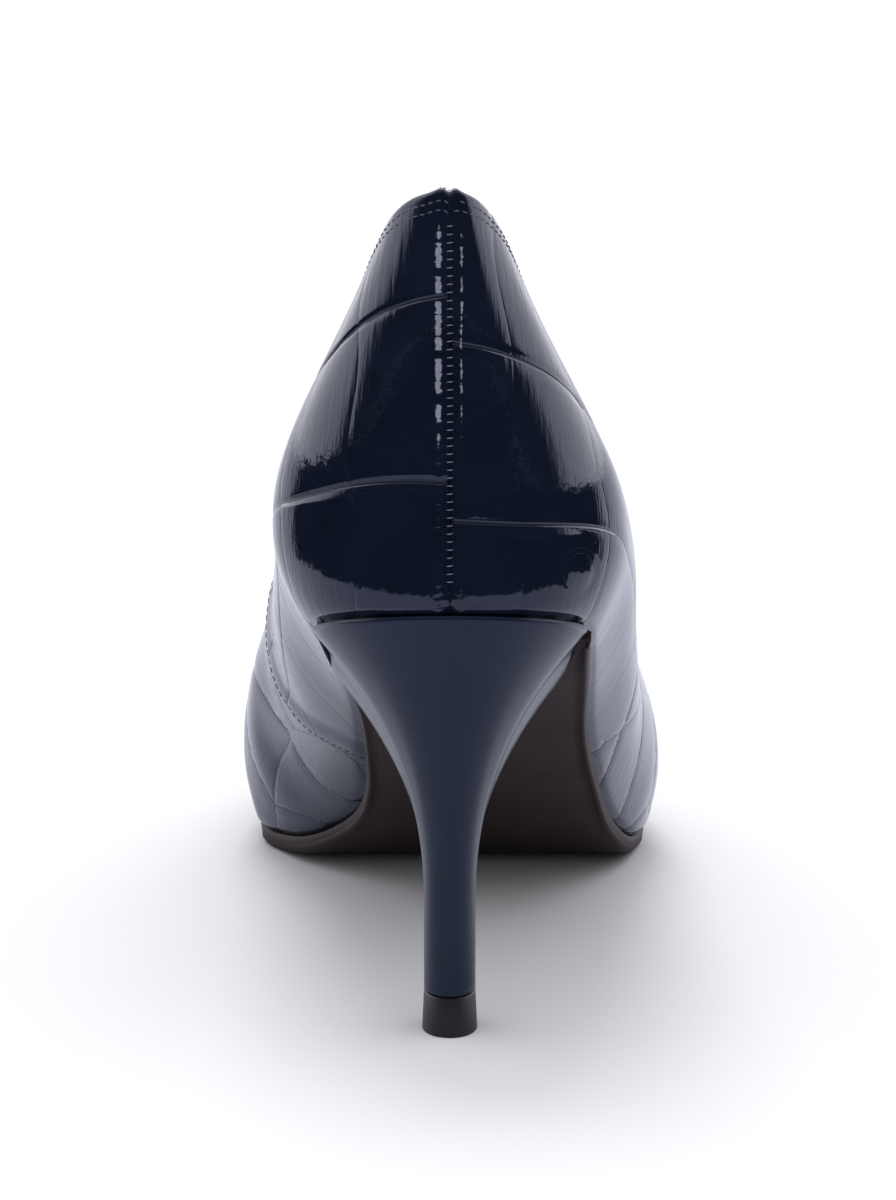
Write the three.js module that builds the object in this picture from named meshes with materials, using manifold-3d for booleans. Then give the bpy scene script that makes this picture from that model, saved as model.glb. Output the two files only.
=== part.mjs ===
// Court shoe for the right foot on a slim high heel, in millimetres.
// +Y runs from the heel to the toe, +X to the outer (lateral) side, +Z up, and the floor is z = 0.
// Everything follows two surfaces: the bottom, which is a side-view curve from heel seat to toe, and the
// wall, which rises from the edge of the bottom (the feather edge) to the topline round the foot opening.
import * as THREE from 'three';
import { mergeVertices } from 'three/addons/utils/BufferGeometryUtils.js';
import Module from 'manifold-3d';

const wasm = await Module();
wasm.setup();

// ---------------------------------------------------------------- driving dimensions
const shoeLength = 221; // horizontal, from the back of the seat to the toe tip
const rearY = 3; // back of the seat, behind which the counter bulges a little
const heelHeight = 78.4; // floor to the back of the heel seat
const backHeight = 71.4; // seat to topline, at the back seam
const toeSpring = 6.4; // lift of the toe tip above the tread
const treadLength = 20; // flat stretch under the ball
const treadY = 146; // where that stretch begins
const throatY = 155; // front of the foot opening
const throatZ = 53; // height of the vamp there
const toeBoxHeight = 10; // straight rise of the wall at the toe tip
const toeRoundness = 10; // half the width of the toe near its tip
const toeOffset = -6; // the tip lies to the inner side

const seatHalf = 23.2; // half the width of the heel seat
const waistInner = 16.2; // heel axis to the edge of the sole, in the arch
const waistOuter = 25.8;
const ballInner = 37;
const ballOuter = 38.8;
const toplineHalf = 27; // half the width of the foot opening, at its widest
const backLean = 5; // top of the back seam, forward of the seat

const upperLeather = 1.1;
const stiffenerSheet = 0.9; // counter, toe puff and interlinings
const liningLeather = 0.8;
const layerGap = 0.2; // glue line between two sheets of the upper
const seamGap = 0.35; // between two pieces that meet edge to edge
const lastingMargin = 8; // upper turned in under the insole
const featherRadius = 3.4;

const insoleThickness = 1.5;
const backpartThickness = 1.8; // fibreboard that stiffens the seat and waist
const sockThickness = 0.9;
const wallLean = 1.1; // the wall leans in over the edge of what lies on the bottom
const toeLean = 2.5; // and leans further in at the toe
const backpartInset = 1.5; // each further in than the insole
const heelCushionInset = 2;
const ballCushionInset = 5;
const fillerInset = 0.8; // cork to the edge of the lasting margin
const heelCushionThickness = 2.2;
const ballCushionThickness = 1.6;
const outsoleFore = 2.7;
const outsoleWaist = 2.2;
const outsoleLip = 0.5; // outsole standing out past the feather edge
const sheetGap = 0.3; // clearance between stacked pieces of the bottom
const soleGap = 0.5; // glue line under the lasted upper, which is uneven
const shankWidth = 9;
const shankThickness = 1.5;
const shankStart = 38;
const shankLength = 88;
const rivetFromEnd = 10;
const soleThinY = 100; // the outsole thickens from here to the tread
const forepartEnd = 0.76; // front of the cork and of the ball cushion, as a part of the way along

const tipHalfWidth = 4.5; // heel where it meets the top piece
const tipRear = 6.2; // widest point back to the rear of the tip
const tipFront = 4.8;
const tipY = 24.2; // widest point of the tip
const tipSquareness = 0.7; // under 1 makes the front of the tip squarer
const topPieceHeight = 7.1;
const topPieceFlare = 0.35; // growth of the top piece from its joint to the floor
const heelBreastY = 49; // front corner of the heel, at the seat
const breastHollow = 5; // how far the breast curves back at its middle
const heelRimInset = 0.7;
const flareStart = 22; // height where the stem begins to widen
const flareBack = 1.8; // how suddenly it widens, along the back line and at the sides
const flareSide = 2.3;

const tubeRadius = 2.3;
const tubeWall = 0.6;
const tubeLength = 36;
const pinClearance = 0.2; // between the pin and the tube it is pressed into
const pinRadius = tubeRadius - tubeWall - pinClearance;
const pinLength = 15;
const pinInTopPiece = 4.5;
const boreClearance = 0.05; // round a tube or pin that is pressed in
const shaftClearance = 0.15; // round a nail, screw or rivet
const tubeRecess = 1; // the tube starts above the foot of the stem
const screwRadius = 2;
const screwLength = 24;
const screwHead = 3;
const screwY = 27;
const nailRadius = 0.9;
const nailLength = 17;
const nailHead = 2;
const nailPairs = [{ y: 19.5, apart: 8 }, { y: 35, apart: 13 }];
const headHeight = 0.9;
const rivetRadius = 1.5;
const rivetHead = 2.8;
const threadRadius = 0.3;
const stitchPitch = 1.4;
const seamStitchHalf = 1; // half the width of the zigzag that closes the back seam
const toplineRows = { topline_stitching_upper: 1.3, topline_stitching_lower: 2.8 }; // below the topline
const seamRowStart = 2; // other rows start this far below the topline rows
const lapStitchInset = 1.6; // row behind the lapped edge in the arch

// ---------------------------------------------------------------- mesh density
const ROWS = 34; // steps from the back to the toe
const WALL_STEPS = 8;
const CORNER_STEPS = 3;
const HEEL_LEVELS = 15;
const HEAD_SIDES = 12;
const TOE_Y = rearY + shoeLength;
const clearOfStation = 0.4 / ROWS; // a station nearer than this to a sheet's end is left out
const tiny = 1e-6;

// ---------------------------------------------------------------- small curve tools
// A smooth curve through [x, y] pairs. Its slope at each inner point is that of the two chords beside it.
function through(points) {
  const slope = (i) => {
    const a = points[Math.max(i - 1, 0)];
    const b = points[Math.min(i + 1, points.length - 1)];
    return (b[1] - a[1]) / (b[0] - a[0]);
  };
  return (x) => {
    let i = points.findIndex((p) => p[0] > x) - 1;
    if (i === -2) i = points.length - 2;
    if (i < 0) i = 0;
    const [x0, y0] = points[i];
    const [x1, y1] = points[i + 1];
    const h = x1 - x0;
    const t = Math.min(Math.max((x - x0) / h, 0), 1);
    const m0 = slope(i) * h;
    const m1 = slope(i + 1) * h;
    const t2 = t * t;
    const t3 = t2 * t;
    return (2 * t3 - 3 * t2 + 1) * y0 + (t3 - 2 * t2 + t) * m0
      + (3 * t2 - 2 * t3) * y1 + (t3 - t2) * m1;
  };
}
const mix = (a, b, t) => a + (b - a) * t;
const smooth = (t) => t * t * (3 - 2 * t);
const clamp01 = (t) => Math.min(Math.max(t, 0), 1);
const vec = (x, y, z) => new THREE.Vector3(x, y, z);

// Distance along the shoe for p, which is 0 at the back and 1 at the toe. Steps are short at both ends,
// where the outline turns.
const alongY = (p) => rearY + shoeLength * (1 - Math.cos(Math.PI * p)) / 2;
const pAt = (y) => Math.acos(1 - 2 * (y - rearY) / shoeLength) / Math.PI;

// Every sheet is meshed at these stations, so that neighbours have matching facets. Two of them are moved
// to the ends of the tread, which is truly flat.
const stations = Array.from({ length: ROWS + 1 }, (_, k) => k / ROWS);
for (const y of [treadY, treadY + treadLength]) stations[Math.round(pAt(y) * ROWS)] = pAt(y);

// ---------------------------------------------------------------- bottom surface
// Height of the feather edge: down the seat and the arched waist, flat under the ball, then up to the toe.
const treadZ = outsoleFore + soleGap;
const waistCurve = through([
  [0, 1], [0.175, 0.886], [0.4, 0.65], [0.645, 0.338], [0.805, 0.127], [0.92, 0.022], [1, 0],
].map(([s, h]) => [mix(rearY, treadY, s), mix(treadZ, heelHeight, h)]));

function bottomZ(y) {
  if (y <= treadY) return waistCurve(Math.max(y, rearY));
  const springStart = treadY + treadLength;
  if (y <= springStart) return treadZ;
  return treadZ + toeSpring * ((y - springStart) / (TOE_Y - springStart)) ** 2;
}

// Frame of the bottom at a distance y: tangent towards the toe, and normal up into the shoe.
function bottomFrame(y) {
  const step = 0.5;
  const lo = Math.max(y - step, rearY);
  const rise = (bottomZ(y + step) - bottomZ(lo)) / (y + step - lo);
  const tangent = vec(0, 1, rise).normalize();
  return { tangent, normal: vec(0, -tangent.z, tangent.y) };
}
const bottomPoint = (x, y, lift) =>
  vec(x, y, bottomZ(y)).addScaledVector(bottomFrame(y).normal, lift);

// ---------------------------------------------------------------- feather edge and topline
const innerEdge = through([
  [0, 0], [0.1, -seatHalf * 0.67], [0.2, -seatHalf], [0.3, -mix(waistInner, seatHalf, 0.46)],
  [0.4, -waistInner], [0.5, -mix(waistInner, ballInner, 0.1)], [0.6, -ballInner],
  [0.7, -ballInner * 0.96], [0.8, toeOffset - toeRoundness * 1.95], [0.9, toeOffset - toeRoundness * 0.95],
  [1, toeOffset],
]);
const outerEdge = through([
  [0, 0], [0.1, seatHalf * 0.67], [0.2, seatHalf], [0.3, mix(waistOuter, seatHalf, 0.3)],
  [0.4, waistOuter], [0.5, mix(waistOuter, ballOuter, 0.38)], [0.6, ballOuter],
  [0.7, ballOuter * 0.87], [0.8, toeOffset + toeRoundness * 2.35], [0.9, toeOffset + toeRoundness * 1.1],
  [1, toeOffset],
]);

// w runs once round the shoe: 0 at the back seam, 1 at the toe tip by the inner side, 2 at the back again.
const side = (w) => (w <= 1 ? { p: w, sign: -1 } : { p: 2 - w, sign: 1 });
function featherPlan(w) {
  const { p, sign } = side(w);
  return vec(sign < 0 ? innerEdge(p) : outerEdge(p), alongY(p), 0);
}

const toplineDrop = backHeight + heelHeight - throatZ;
const toplineX = through([
  [-0.1, -0.3], [0, 0], [0.1, 0.3], [0.2, 0.478], [0.3, 0.66], [0.42, 0.89], [0.54, 1],
  [0.64, 0.9], [0.76, 0.58], [0.88, 0.27], [1, 0], [1.12, -0.27],
].map(([p, f]) => [p, f * toplineHalf]));
const toplineY = through([
  [-0.1, 0.04], [0, 0], [0.1, 0.04], [0.2, 0.125], [0.3, 0.27], [0.42, 0.49], [0.54, 0.73],
  [0.64, 0.872], [0.76, 0.961], [0.88, 0.992], [1, 1], [1.12, 0.992],
].map(([p, f]) => [p, mix(rearY + backLean, throatY, f)]));
const toplineZ = through([
  [-0.1, 0.952], [0, 1], [0.1, 0.952], [0.2, 0.817], [0.3, 0.623], [0.42, 0.385], [0.54, 0.173],
  [0.64, 0.066], [0.76, 0.01], [0.88, 0.002], [1, 0], [1.12, 0.002],
].map(([p, f]) => [p, throatZ + f * toplineDrop]));
// The opening leans to the inner side, fully so from a short way round the back.
const ridgeShift = through([[0, -1.3], [0.3, -1.2], [0.6, -2], [1, -3.5]]);
const leanStart = 0.1;

function topline(w) {
  const { p, sign } = side(w);
  const lean = ridgeShift(p) * smooth(clamp01(p / leanStart));
  return vec(sign * toplineX(p) + lean, toplineY(p), toplineZ(p));
}

// Horizontal direction pointing out of the shoe, square to a plan curve.
function outwards(curve, w) {
  const step = 0.004;
  const along = curve(Math.min(w + step, 2)).sub(curve(Math.max(w - step, 0)));
  if (w < step || w > 2 - step) return vec(0, -1, 0);
  return vec(-along.y, along.x, 0).normalize();
}

// How the wall leaves the feather edge and arrives at the topline: outward and upward reach of each end,
// at the parts of the way along listed in wallStops. Inner and outer side differ in the waist, where the
// arch is cut away.
const wallStops = [0, 0.1, 0.2, 0.3, 0.4, 0.5, 0.6, 0.8, 1];
const reach = (...values) => through(wallStops.map((p, i) => [p, values[i]]));
const lowOut = {
  '-1': reach(5, 7, 13, 18, 20, 17, 7, 3, 2),
  1: reach(5, 7, 13, 16, 15.5, 11, 7, 3, 2),
};
const lowUp = {
  '-1': reach(24, 23.5, 23, 20, 13, 15, 22, 15, toeBoxHeight),
  1: reach(24, 23.5, 23, 22, 17, 18, 22, 15, toeBoxHeight),
};
const highOut = {
  '-1': reach(8, 8.5, 12, 12.5, 11, 10.5, 10.5, 19, 26),
  1: reach(8, 8, 11, 11, 10, 10.5, 10.5, 19, 26),
};
const highDown = reach(24, 23, 22, 20, 20, 20, 13, 12, 18);
const marginReach = through([[0, 1], [0.7, 1], [0.8, 0.7], [0.9, 0.4], [1, 0.3]]);

// Columns of the wall lean forwards as they rise near the arch, along the seam that is there.
const archSeam = 0.43;
const archSeamLean = 0.12;
const leanFrom = 0.15;
const leanTo = 0.8;
function leaning(u, r) {
  const near = u < archSeam ? (u - leanFrom) / (archSeam - leanFrom) : (leanTo - u) / (leanTo - archSeam);
  return u + archSeamLean * smooth(clamp01(near)) * Math.max(r, 0) ** 1.1;
}

// Point of the wall's outer face. u runs round the shoe as w does, but follows the leaning columns. r is
// -2 at the inner edge of the lasting margin, -1 where it starts to turn the feather edge, 0 at the foot
// of the wall and 1 at the topline.
function wallPoint(u, r) {
  const w = leaning((u + 2) % 2, r);
  const { p, sign } = side(w);
  const plan = featherPlan(w);
  const { tangent, normal } = bottomFrame(plan.y);
  const out = outwards(featherPlan, w);
  const outBottom = vec(out.x, 0, 0).addScaledVector(tangent, out.y);
  const edge = vec(plan.x, plan.y, bottomZ(plan.y));
  const rise = outBottom.clone().multiplyScalar(lowOut[sign](p)).addScaledVector(normal, lowUp[sign](p));
  const foot = edge.clone().addScaledVector(rise.clone().normalize(), featherRadius);
  const under = (reach) => bottomPoint(plan.x - out.x * reach, plan.y - out.y * reach, 0);
  if (r < -1) return under(featherRadius - (r + 1) * lastingMargin * marginReach(p));
  const turn = under(featherRadius);
  if (r < 0) return new THREE.QuadraticBezierCurve3(turn, edge, foot).getPoint(r + 1);
  const top = topline(w);
  const above = top.clone().addScaledVector(outwards(topline, w), highOut[sign](p));
  above.z -= highDown(p);
  return new THREE.CubicBezierCurve3(foot, edge.clone().add(rise), above, top).getPoint(r);
}

// The same point moved in by a depth, square to the surface.
function skinPoint(u, r, depth) {
  const du = 0.004;
  const dr = 0.01;
  const alongU = wallPoint(u + du, r).sub(wallPoint(u - du, r));
  const alongR = wallPoint(u, Math.min(r + dr, 1)).sub(wallPoint(u, Math.max(r - dr, -2)));
  const outward = alongR.cross(alongU).normalize();
  return wallPoint(u, r).addScaledVector(outward, -depth);
}

// ---------------------------------------------------------------- solids
const colours = {
  patent: [0x0f1622, 0.12, 0], lacquer: [0x232a3c, 0.3, 0], sole: [0x33292a, 0.5, 0],
  rubber: [0x111113, 0.6, 0], lining: [0xb59a7c, 0.75, 0], board: [0x8a6a48, 0.9, 0],
  fibre: [0xd8d2c4, 0.9, 0], foam: [0xe6dcc0, 0.95, 0], steel: [0xa9adb3, 0.35, 1],
  tape: [0xdedede, 0.8, 0], thread: [0x141b2b, 0.6, 0], cork: [0x9c7550, 0.95, 0],
};
const model = new THREE.Group();

function addMesh(name, geometry, finish) {
  const [color, roughness, metalness] = colours[finish];
  geometry.computeVertexNormals();
  const mesh = new THREE.Mesh(geometry, new THREE.MeshStandardMaterial({ color, roughness, metalness }));
  mesh.name = name;
  model.add(mesh);
  return mesh;
}

// Collects four-sided faces, and makes one welded geometry of them.
function faceList() {
  const position = [];
  const quad = (a, b, c, d) => {
    for (const q of [a, b, c, a, c, d]) position.push(q.x, q.y, q.z);
  };
  const geometry = () => {
    const made = new THREE.BufferGeometry();
    made.setAttribute('position', new THREE.Float32BufferAttribute(position, 3));
    return weld(made);
  };
  return { quad, geometry };
}

// A closed block from a grid of points grid[i][j] = { low, high }: two faces and a rim. With "ring" set,
// the last row of the grid joins the first. Row ends that shrink to a point are merged by the welding.
function blockGeometry(grid, ring = false) {
  const rows = grid.length;
  const cols = grid[0].length;
  const { quad, geometry } = faceList();
  const last = ring ? rows : rows - 1;
  for (let i = 0; i < last; i++) {
    const here = grid[i];
    const next = grid[(i + 1) % rows];
    for (let j = 0; j < cols - 1; j++) {
      quad(here[j].high, next[j].high, next[j + 1].high, here[j + 1].high);
      quad(here[j].low, here[j + 1].low, next[j + 1].low, next[j].low);
    }
    const end = cols - 1;
    quad(here[0].low, next[0].low, next[0].high, here[0].high);
    quad(here[end].high, next[end].high, next[end].low, here[end].low);
  }
  if (!ring) {
    for (const [row, flip] of [[grid[0], true], [grid[rows - 1], false]]) {
      for (let j = 0; j < cols - 1; j++) {
        const corners = [row[j].low, row[j + 1].low, row[j + 1].high, row[j].high];
        quad(...(flip ? corners.reverse() : corners));
      }
    }
  }
  return geometry();
}

// Merges shared corners and drops the faces that had no area.
function weld(geometry) {
  for (const name of ['normal', 'uv']) geometry.deleteAttribute(name);
  const merged = mergeVertices(geometry, 1e-3);
  const kept = [];
  for (let i = 0; i < merged.index.count; i += 3) {
    const [a, b, c] = [0, 1, 2].map((k) => merged.index.getX(i + k));
    if (a !== b && b !== c && c !== a) kept.push(a, b, c);
  }
  merged.setIndex(kept);
  return merged;
}

function toSolid(geometry) {
  const welded = weld(geometry.clone());
  return new wasm.Manifold(new wasm.Mesh({
    numProp: 3,
    vertProperties: welded.attributes.position.array,
    triVerts: new Uint32Array(welded.index.array),
  }));
}

function fromSolid(solid) {
  const { numProp, vertProperties, triVerts } = solid.getMesh();
  const geometry = new THREE.BufferGeometry();
  geometry.setAttribute('position', new THREE.BufferAttribute(new Float32Array(vertProperties), numProp));
  geometry.setIndex(new THREE.BufferAttribute(new Uint32Array(triVerts), 1));
  return geometry;
}
const cutBy = (geometry, tools) =>
  fromSolid(tools.reduce((solid, tool) => solid.subtract(toSolid(tool)), toSolid(geometry)));

// ---------------------------------------------------------------- sheets of the upper
// Heights of the mesh rows on the wall, from r0 to 1, with the margin and its turn when r0 is -2.
function rowHeights(r0, r1 = 1) {
  const rows = [];
  if (r0 < -1) rows.push(-2);
  if (r0 < 0) for (let k = 0; k < CORNER_STEPS; k++) rows.push(-1 + k / CORNER_STEPS);
  for (let k = 0; k <= WALL_STEPS; k++) rows.push(k / WALL_STEPS);
  return rows.filter((r) => r >= r0 && r < r1 - tiny).concat(r1);
}

// Step in u that moves a point on the wall by a distance.
function stepFor(u, r, distance) {
  const du = 0.002;
  return (distance * du * 2) / wallPoint(u + du, r).distanceTo(wallPoint(u - du, r));
}

// Mesh columns from one seam to another. Each seam is { at, gap }: its u, and how far the sheet stays off.
const allColumns = [...stations, ...stations.slice(0, -1).reverse().map((p) => 2 - p)];
function columnsBetween(from, to) {
  return [...allColumns.map((u) => u - 2), ...allColumns.slice(1)]
    .filter((u) => u > from.at + clearOfStation && u < to.at - clearOfStation);
}

// A sheet between two depths, from seam to seam, or all the way round when no seams are given.
function upperSheet({ from, to, depth, thickness, rows }) {
  const ring = !from;
  const columns = ring ? allColumns.slice(0, -1) : [from, ...columnsBetween(from, to), to];
  const uAt = (column, r) =>
    (column.at === undefined ? column : column.at + stepFor(column.at, r, column.gap));
  const grid = columns.map((column) => rows.toReversed().map((r) => {
    const u = uAt(column, r);
    return { high: skinPoint(u, r, depth), low: skinPoint(u, r, depth + thickness) };
  }));
  return blockGeometry(grid, ring);
}
const seam = (at, side) => ({ at, gap: (side * seamGap) / 2 });

const linerDepth = upperLeather + layerGap;
const liningDepth = linerDepth + stiffenerSheet + layerGap;
const wallThickness = liningDepth + liningLeather;

function addUpper() {
  const sheet = { depth: 0, thickness: upperLeather, rows: rowHeights(-2) };
  addMesh('medial_quarter', upperSheet({ ...sheet, from: seam(0, 1), to: seam(archSeam, -1) }), 'patent');
  addMesh('vamp', upperSheet({ ...sheet, from: seam(archSeam, 1), to: seam(2, -1) }), 'patent');
}

// Between upper and lining: a stiff counter round the heel, a toe puff, soft interlinings between them,
// and a tape along the topline above them all.
const tapeFoot = 0.875;
const tapeHead = 0.99;
const stiffenerHead = tapeFoot - 0.01;
const counterEnd = 0.32;
const puffStart = 0.78;
const puffHead = 0.75;

function addStiffeners() {
  const body = { depth: linerDepth, thickness: stiffenerSheet };
  const wallRows = rowHeights(0, stiffenerHead);
  addMesh('heel_counter', upperSheet({
    ...body, rows: rowHeights(-2, stiffenerHead), from: seam(-counterEnd, 1), to: seam(counterEnd, -1),
  }), 'fibre');
  addMesh('medial_interlining', upperSheet({
    ...body, rows: wallRows, from: seam(counterEnd, 1), to: seam(puffStart, -1),
  }), 'tape');
  addMesh('lateral_interlining', upperSheet({
    ...body, rows: wallRows, from: seam(2 - puffStart, 1), to: seam(2 - counterEnd, -1),
  }), 'tape');
  addMesh('toe_puff', upperSheet({
    ...body, rows: rowHeights(-1, puffHead), from: seam(puffStart, 1), to: seam(2 - puffStart, -1),
  }), 'fibre');
  addMesh('topline_tape', upperSheet({ ...body, rows: [tapeFoot, tapeHead] }), 'tape');
}

const liningSeam = 0.5;
function addLinings() {
  const sheet = { depth: liningDepth, thickness: liningLeather, rows: rowHeights(-1) };
  addMesh('quarter_lining', upperSheet({
    ...sheet, from: seam(-liningSeam, 1), to: seam(liningSeam, -1),
  }), 'lining');
  addMesh('vamp_lining', upperSheet({
    ...sheet, from: seam(liningSeam, 1), to: seam(2 - liningSeam, -1),
  }), 'lining');
}

// ---------------------------------------------------------------- sheets of the bottom
// An outline point moved in from the feather edge, on the inner (-1) or outer (1) side.
function insetPlan(p, sign, inset) {
  const w = sign < 0 ? p : 2 - p;
  return featherPlan(w).addScaledVector(outwards(featherPlan, w), -inset);
}

// A sheet lying on the bottom, between two lifts above it. inset may depend on p.
function bottomSheet({ from = 0, to = 1, inset, low, high, centre = null }) {
  const value = (v, p) => (typeof v === 'function' ? v(p) : v);
  const grid = [];
  const between = stations.filter((q) => q > from + clearOfStation && q < to - clearOfStation);
  for (const p of [from, ...between, to]) {
    const ends = [1, -1].map((sign) => insetPlan(p, sign, value(inset, p)));
    if (centre) {
      const middle = mix(ends[0].x, ends[1].x, 0.5);
      ends[0].x = middle + centre / 2;
      ends[1].x = middle - centre / 2;
      ends[0].y = ends[1].y = alongY(p);
    }
    grid.push(ends.map((e) => ({
      low: bottomPoint(e.x, e.y, value(low, p)), high: bottomPoint(e.x, e.y, value(high, p)),
    })));
  }
  return blockGeometry(grid);
}

const insoleLow = wallThickness + soleGap;
const insoleHigh = insoleLow + insoleThickness;
const backpartHigh = insoleHigh + sheetGap + backpartThickness;
const edgeInset = wallThickness + sheetGap + wallLean;
const backpartEnd = pAt(shankStart + shankLength);
const cushionEnd = 0.34;
const cushionGap = 0.08; // backpart to ball cushion, as a part of the way along
const sockLow = (p) => mix(
  backpartHigh + 2 * sheetGap + heelCushionThickness,
  insoleHigh + 2 * sheetGap + ballCushionThickness,
  smooth(clamp01((p - cushionEnd) / (backpartEnd + cushionGap - cushionEnd))),
);

// A round tool or fastener whose axis is square to the bottom at (x, y), between two lifts.
function boltGeometry(x, y, low, high, radius, segments = 10) {
  const { normal } = bottomFrame(y);
  const geometry = new THREE.CylinderGeometry(radius, radius, high - low, segments);
  geometry.applyQuaternion(new THREE.Quaternion().setFromUnitVectors(vec(0, 1, 0), normal));
  const middle = bottomPoint(x, y, (low + high) / 2);
  return geometry.translate(middle.x, middle.y, middle.z);
}

const nails = nailPairs.flatMap(({ y, apart }) => [{ x: -apart / 2, y }, { x: apart / 2, y }]);
const fasteners = [
  { name: 'heel_screw', x: 0, y: screwY, radius: screwRadius, length: screwLength, head: screwHead },
  ...nails.map((place, i) =>
    ({ name: `heel_nail_${i + 1}`, ...place, radius: nailRadius, length: nailLength, head: nailHead })),
];
const rivetYs = [shankStart + rivetFromEnd, shankStart + shankLength - rivetFromEnd];
const waistMiddle = (y) => {
  const p = pAt(y);
  return mix(innerEdge(p), outerEdge(p), 0.5);
};

// A shaft with a flat head at its top, and another at its foot if footHead is set.
function addFastener({ name, x, y, radius, length, head, footHead = false }) {
  const top = backpartHigh;
  const low = top - length;
  const shaft = toSolid(boltGeometry(x, y, low, top - headHeight / 2, radius));
  const caps = [boltGeometry(x, y, top - headHeight, top, head, HEAD_SIDES)];
  if (footHead) caps.push(boltGeometry(x, y, low, low + headHeight, head, HEAD_SIDES));
  addMesh(name, fromSolid(caps.reduce((solid, cap) => solid.add(toSolid(cap)), shaft)), 'steel');
}

// Cutting tools for the hole of a fastener and for the seat of its head, in the sheets of the bottom.
const above = backpartHigh + 2;
const holeFor = ({ x, y, radius }, gap) => boltGeometry(x, y, -1, above, radius + gap);
const seatFor = ({ x, y, head }) =>
  boltGeometry(x, y, backpartHigh - headHeight - sheetGap, above, head + sheetGap, HEAD_SIDES);

const shankTop = insoleLow - sheetGap;
const rivets = rivetYs.map((y, i) => ({
  name: `${['rear', 'front'][i]}_shank_rivet`, x: waistMiddle(y), y, radius: rivetRadius, head: rivetHead,
  length: backpartHigh - (shankTop - shankThickness - sheetGap - headHeight), footHead: true,
}));

function addBottom() {
  const heelHoles = fasteners.map((fastener) => holeFor(fastener, sheetGap));
  const rivetHoles = rivets.map((rivet) => holeFor(rivet, shaftClearance));
  const seats = [...fasteners, ...rivets].map(seatFor);

  addMesh('insole_board', cutBy(bottomSheet({ inset: edgeInset, low: insoleLow, high: insoleHigh }),
    [...heelHoles, ...rivetHoles]), 'board');
  addMesh('backpart_board', cutBy(bottomSheet({
    to: backpartEnd, inset: edgeInset + backpartInset, low: insoleHigh + sheetGap, high: backpartHigh,
  }), [...heelHoles, ...rivetHoles, ...seats]), 'board');
  addMesh('steel_shank', cutBy(bottomSheet({
    from: pAt(shankStart), to: backpartEnd, inset: 0, centre: shankWidth,
    low: shankTop - shankThickness, high: shankTop,
  }), rivetHoles), 'steel');
  rivets.forEach(addFastener);

  addMesh('bottom_filler', bottomSheet({
    from: backpartEnd + cushionGap / 4, to: forepartEnd,
    inset: featherRadius + lastingMargin + fillerInset, low: sheetGap, high: insoleLow - sheetGap,
  }), 'cork');
  addMesh('heel_cushion', bottomSheet({
    to: cushionEnd, inset: edgeInset + heelCushionInset,
    low: backpartHigh + sheetGap, high: backpartHigh + sheetGap + heelCushionThickness,
  }), 'foam');
  addMesh('ball_cushion', bottomSheet({
    from: backpartEnd + cushionGap, to: forepartEnd, inset: edgeInset + ballCushionInset,
    low: insoleHigh + sheetGap, high: insoleHigh + sheetGap + ballCushionThickness,
  }), 'foam');
  addMesh('sock_lining', bottomSheet({
    inset: (p) => edgeInset + toeLean * p ** 4, low: sockLow, high: (p) => sockLow(p) + sockThickness,
  }), 'lining');

  const soleThickness = (p) =>
    mix(outsoleWaist, outsoleFore, smooth(clamp01((alongY(p) - soleThinY) / (treadY - soleThinY))));
  addMesh('outsole', bottomSheet({
    from: soleStart, inset: -outsoleLip,
    low: (p) => -soleGap - soleThickness(p), high: -soleGap,
  }), 'sole');
}

// ---------------------------------------------------------------- heel
// Outline of the stem where it meets the top piece, at an angle from the rear (-90) to the front (90).
function tipOutline(angle, grow = 0) {
  const c = Math.cos(angle);
  const s = Math.sin(angle);
  const power = s > 0 ? tipSquareness : 1;
  return vec(
    (tipHalfWidth + grow) * Math.abs(c) ** power * Math.sign(c),
    tipY + ((s > 0 ? tipFront : tipRear) + grow) * Math.abs(s) ** power * Math.sign(s),
    0,
  );
}

// Half outline of the heel's rim, from the back of the seat round the side to the middle of the breast.
// The heel is symmetrical and follows the narrower, inner side of the seat.
const RIM_STEPS = 14;
const rimCorner = 10; // step at the breast corner
const rimTuck = 9; // from here on the end of the outsole lies between heel and upper
const rimBack = 5; // up to here the back line's gentler flare blends into that of the sides
const soleStart = pAt(alongY((pAt(heelBreastY) * rimTuck) / rimCorner) + sheetGap);
function rimPoint(k, sign) {
  if (k <= rimCorner) {
    const plan = insetPlan((pAt(heelBreastY) * k) / rimCorner, -1, heelRimInset);
    return vec(k === 0 ? 0 : -sign * plan.x, plan.y, 0);
  }
  const corner = rimPoint(rimCorner, sign);
  const t = (k - rimCorner) / (RIM_STEPS - rimCorner);
  const middle = heelBreastY - breastHollow;
  return vec(corner.x * (1 - t), mix(corner.y, middle, Math.sin((t * Math.PI) / 2)), 0);
}

const rimHeight = (k) => -soleGap - (k < rimTuck ? 0 : outsoleWaist + sheetGap);

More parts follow.
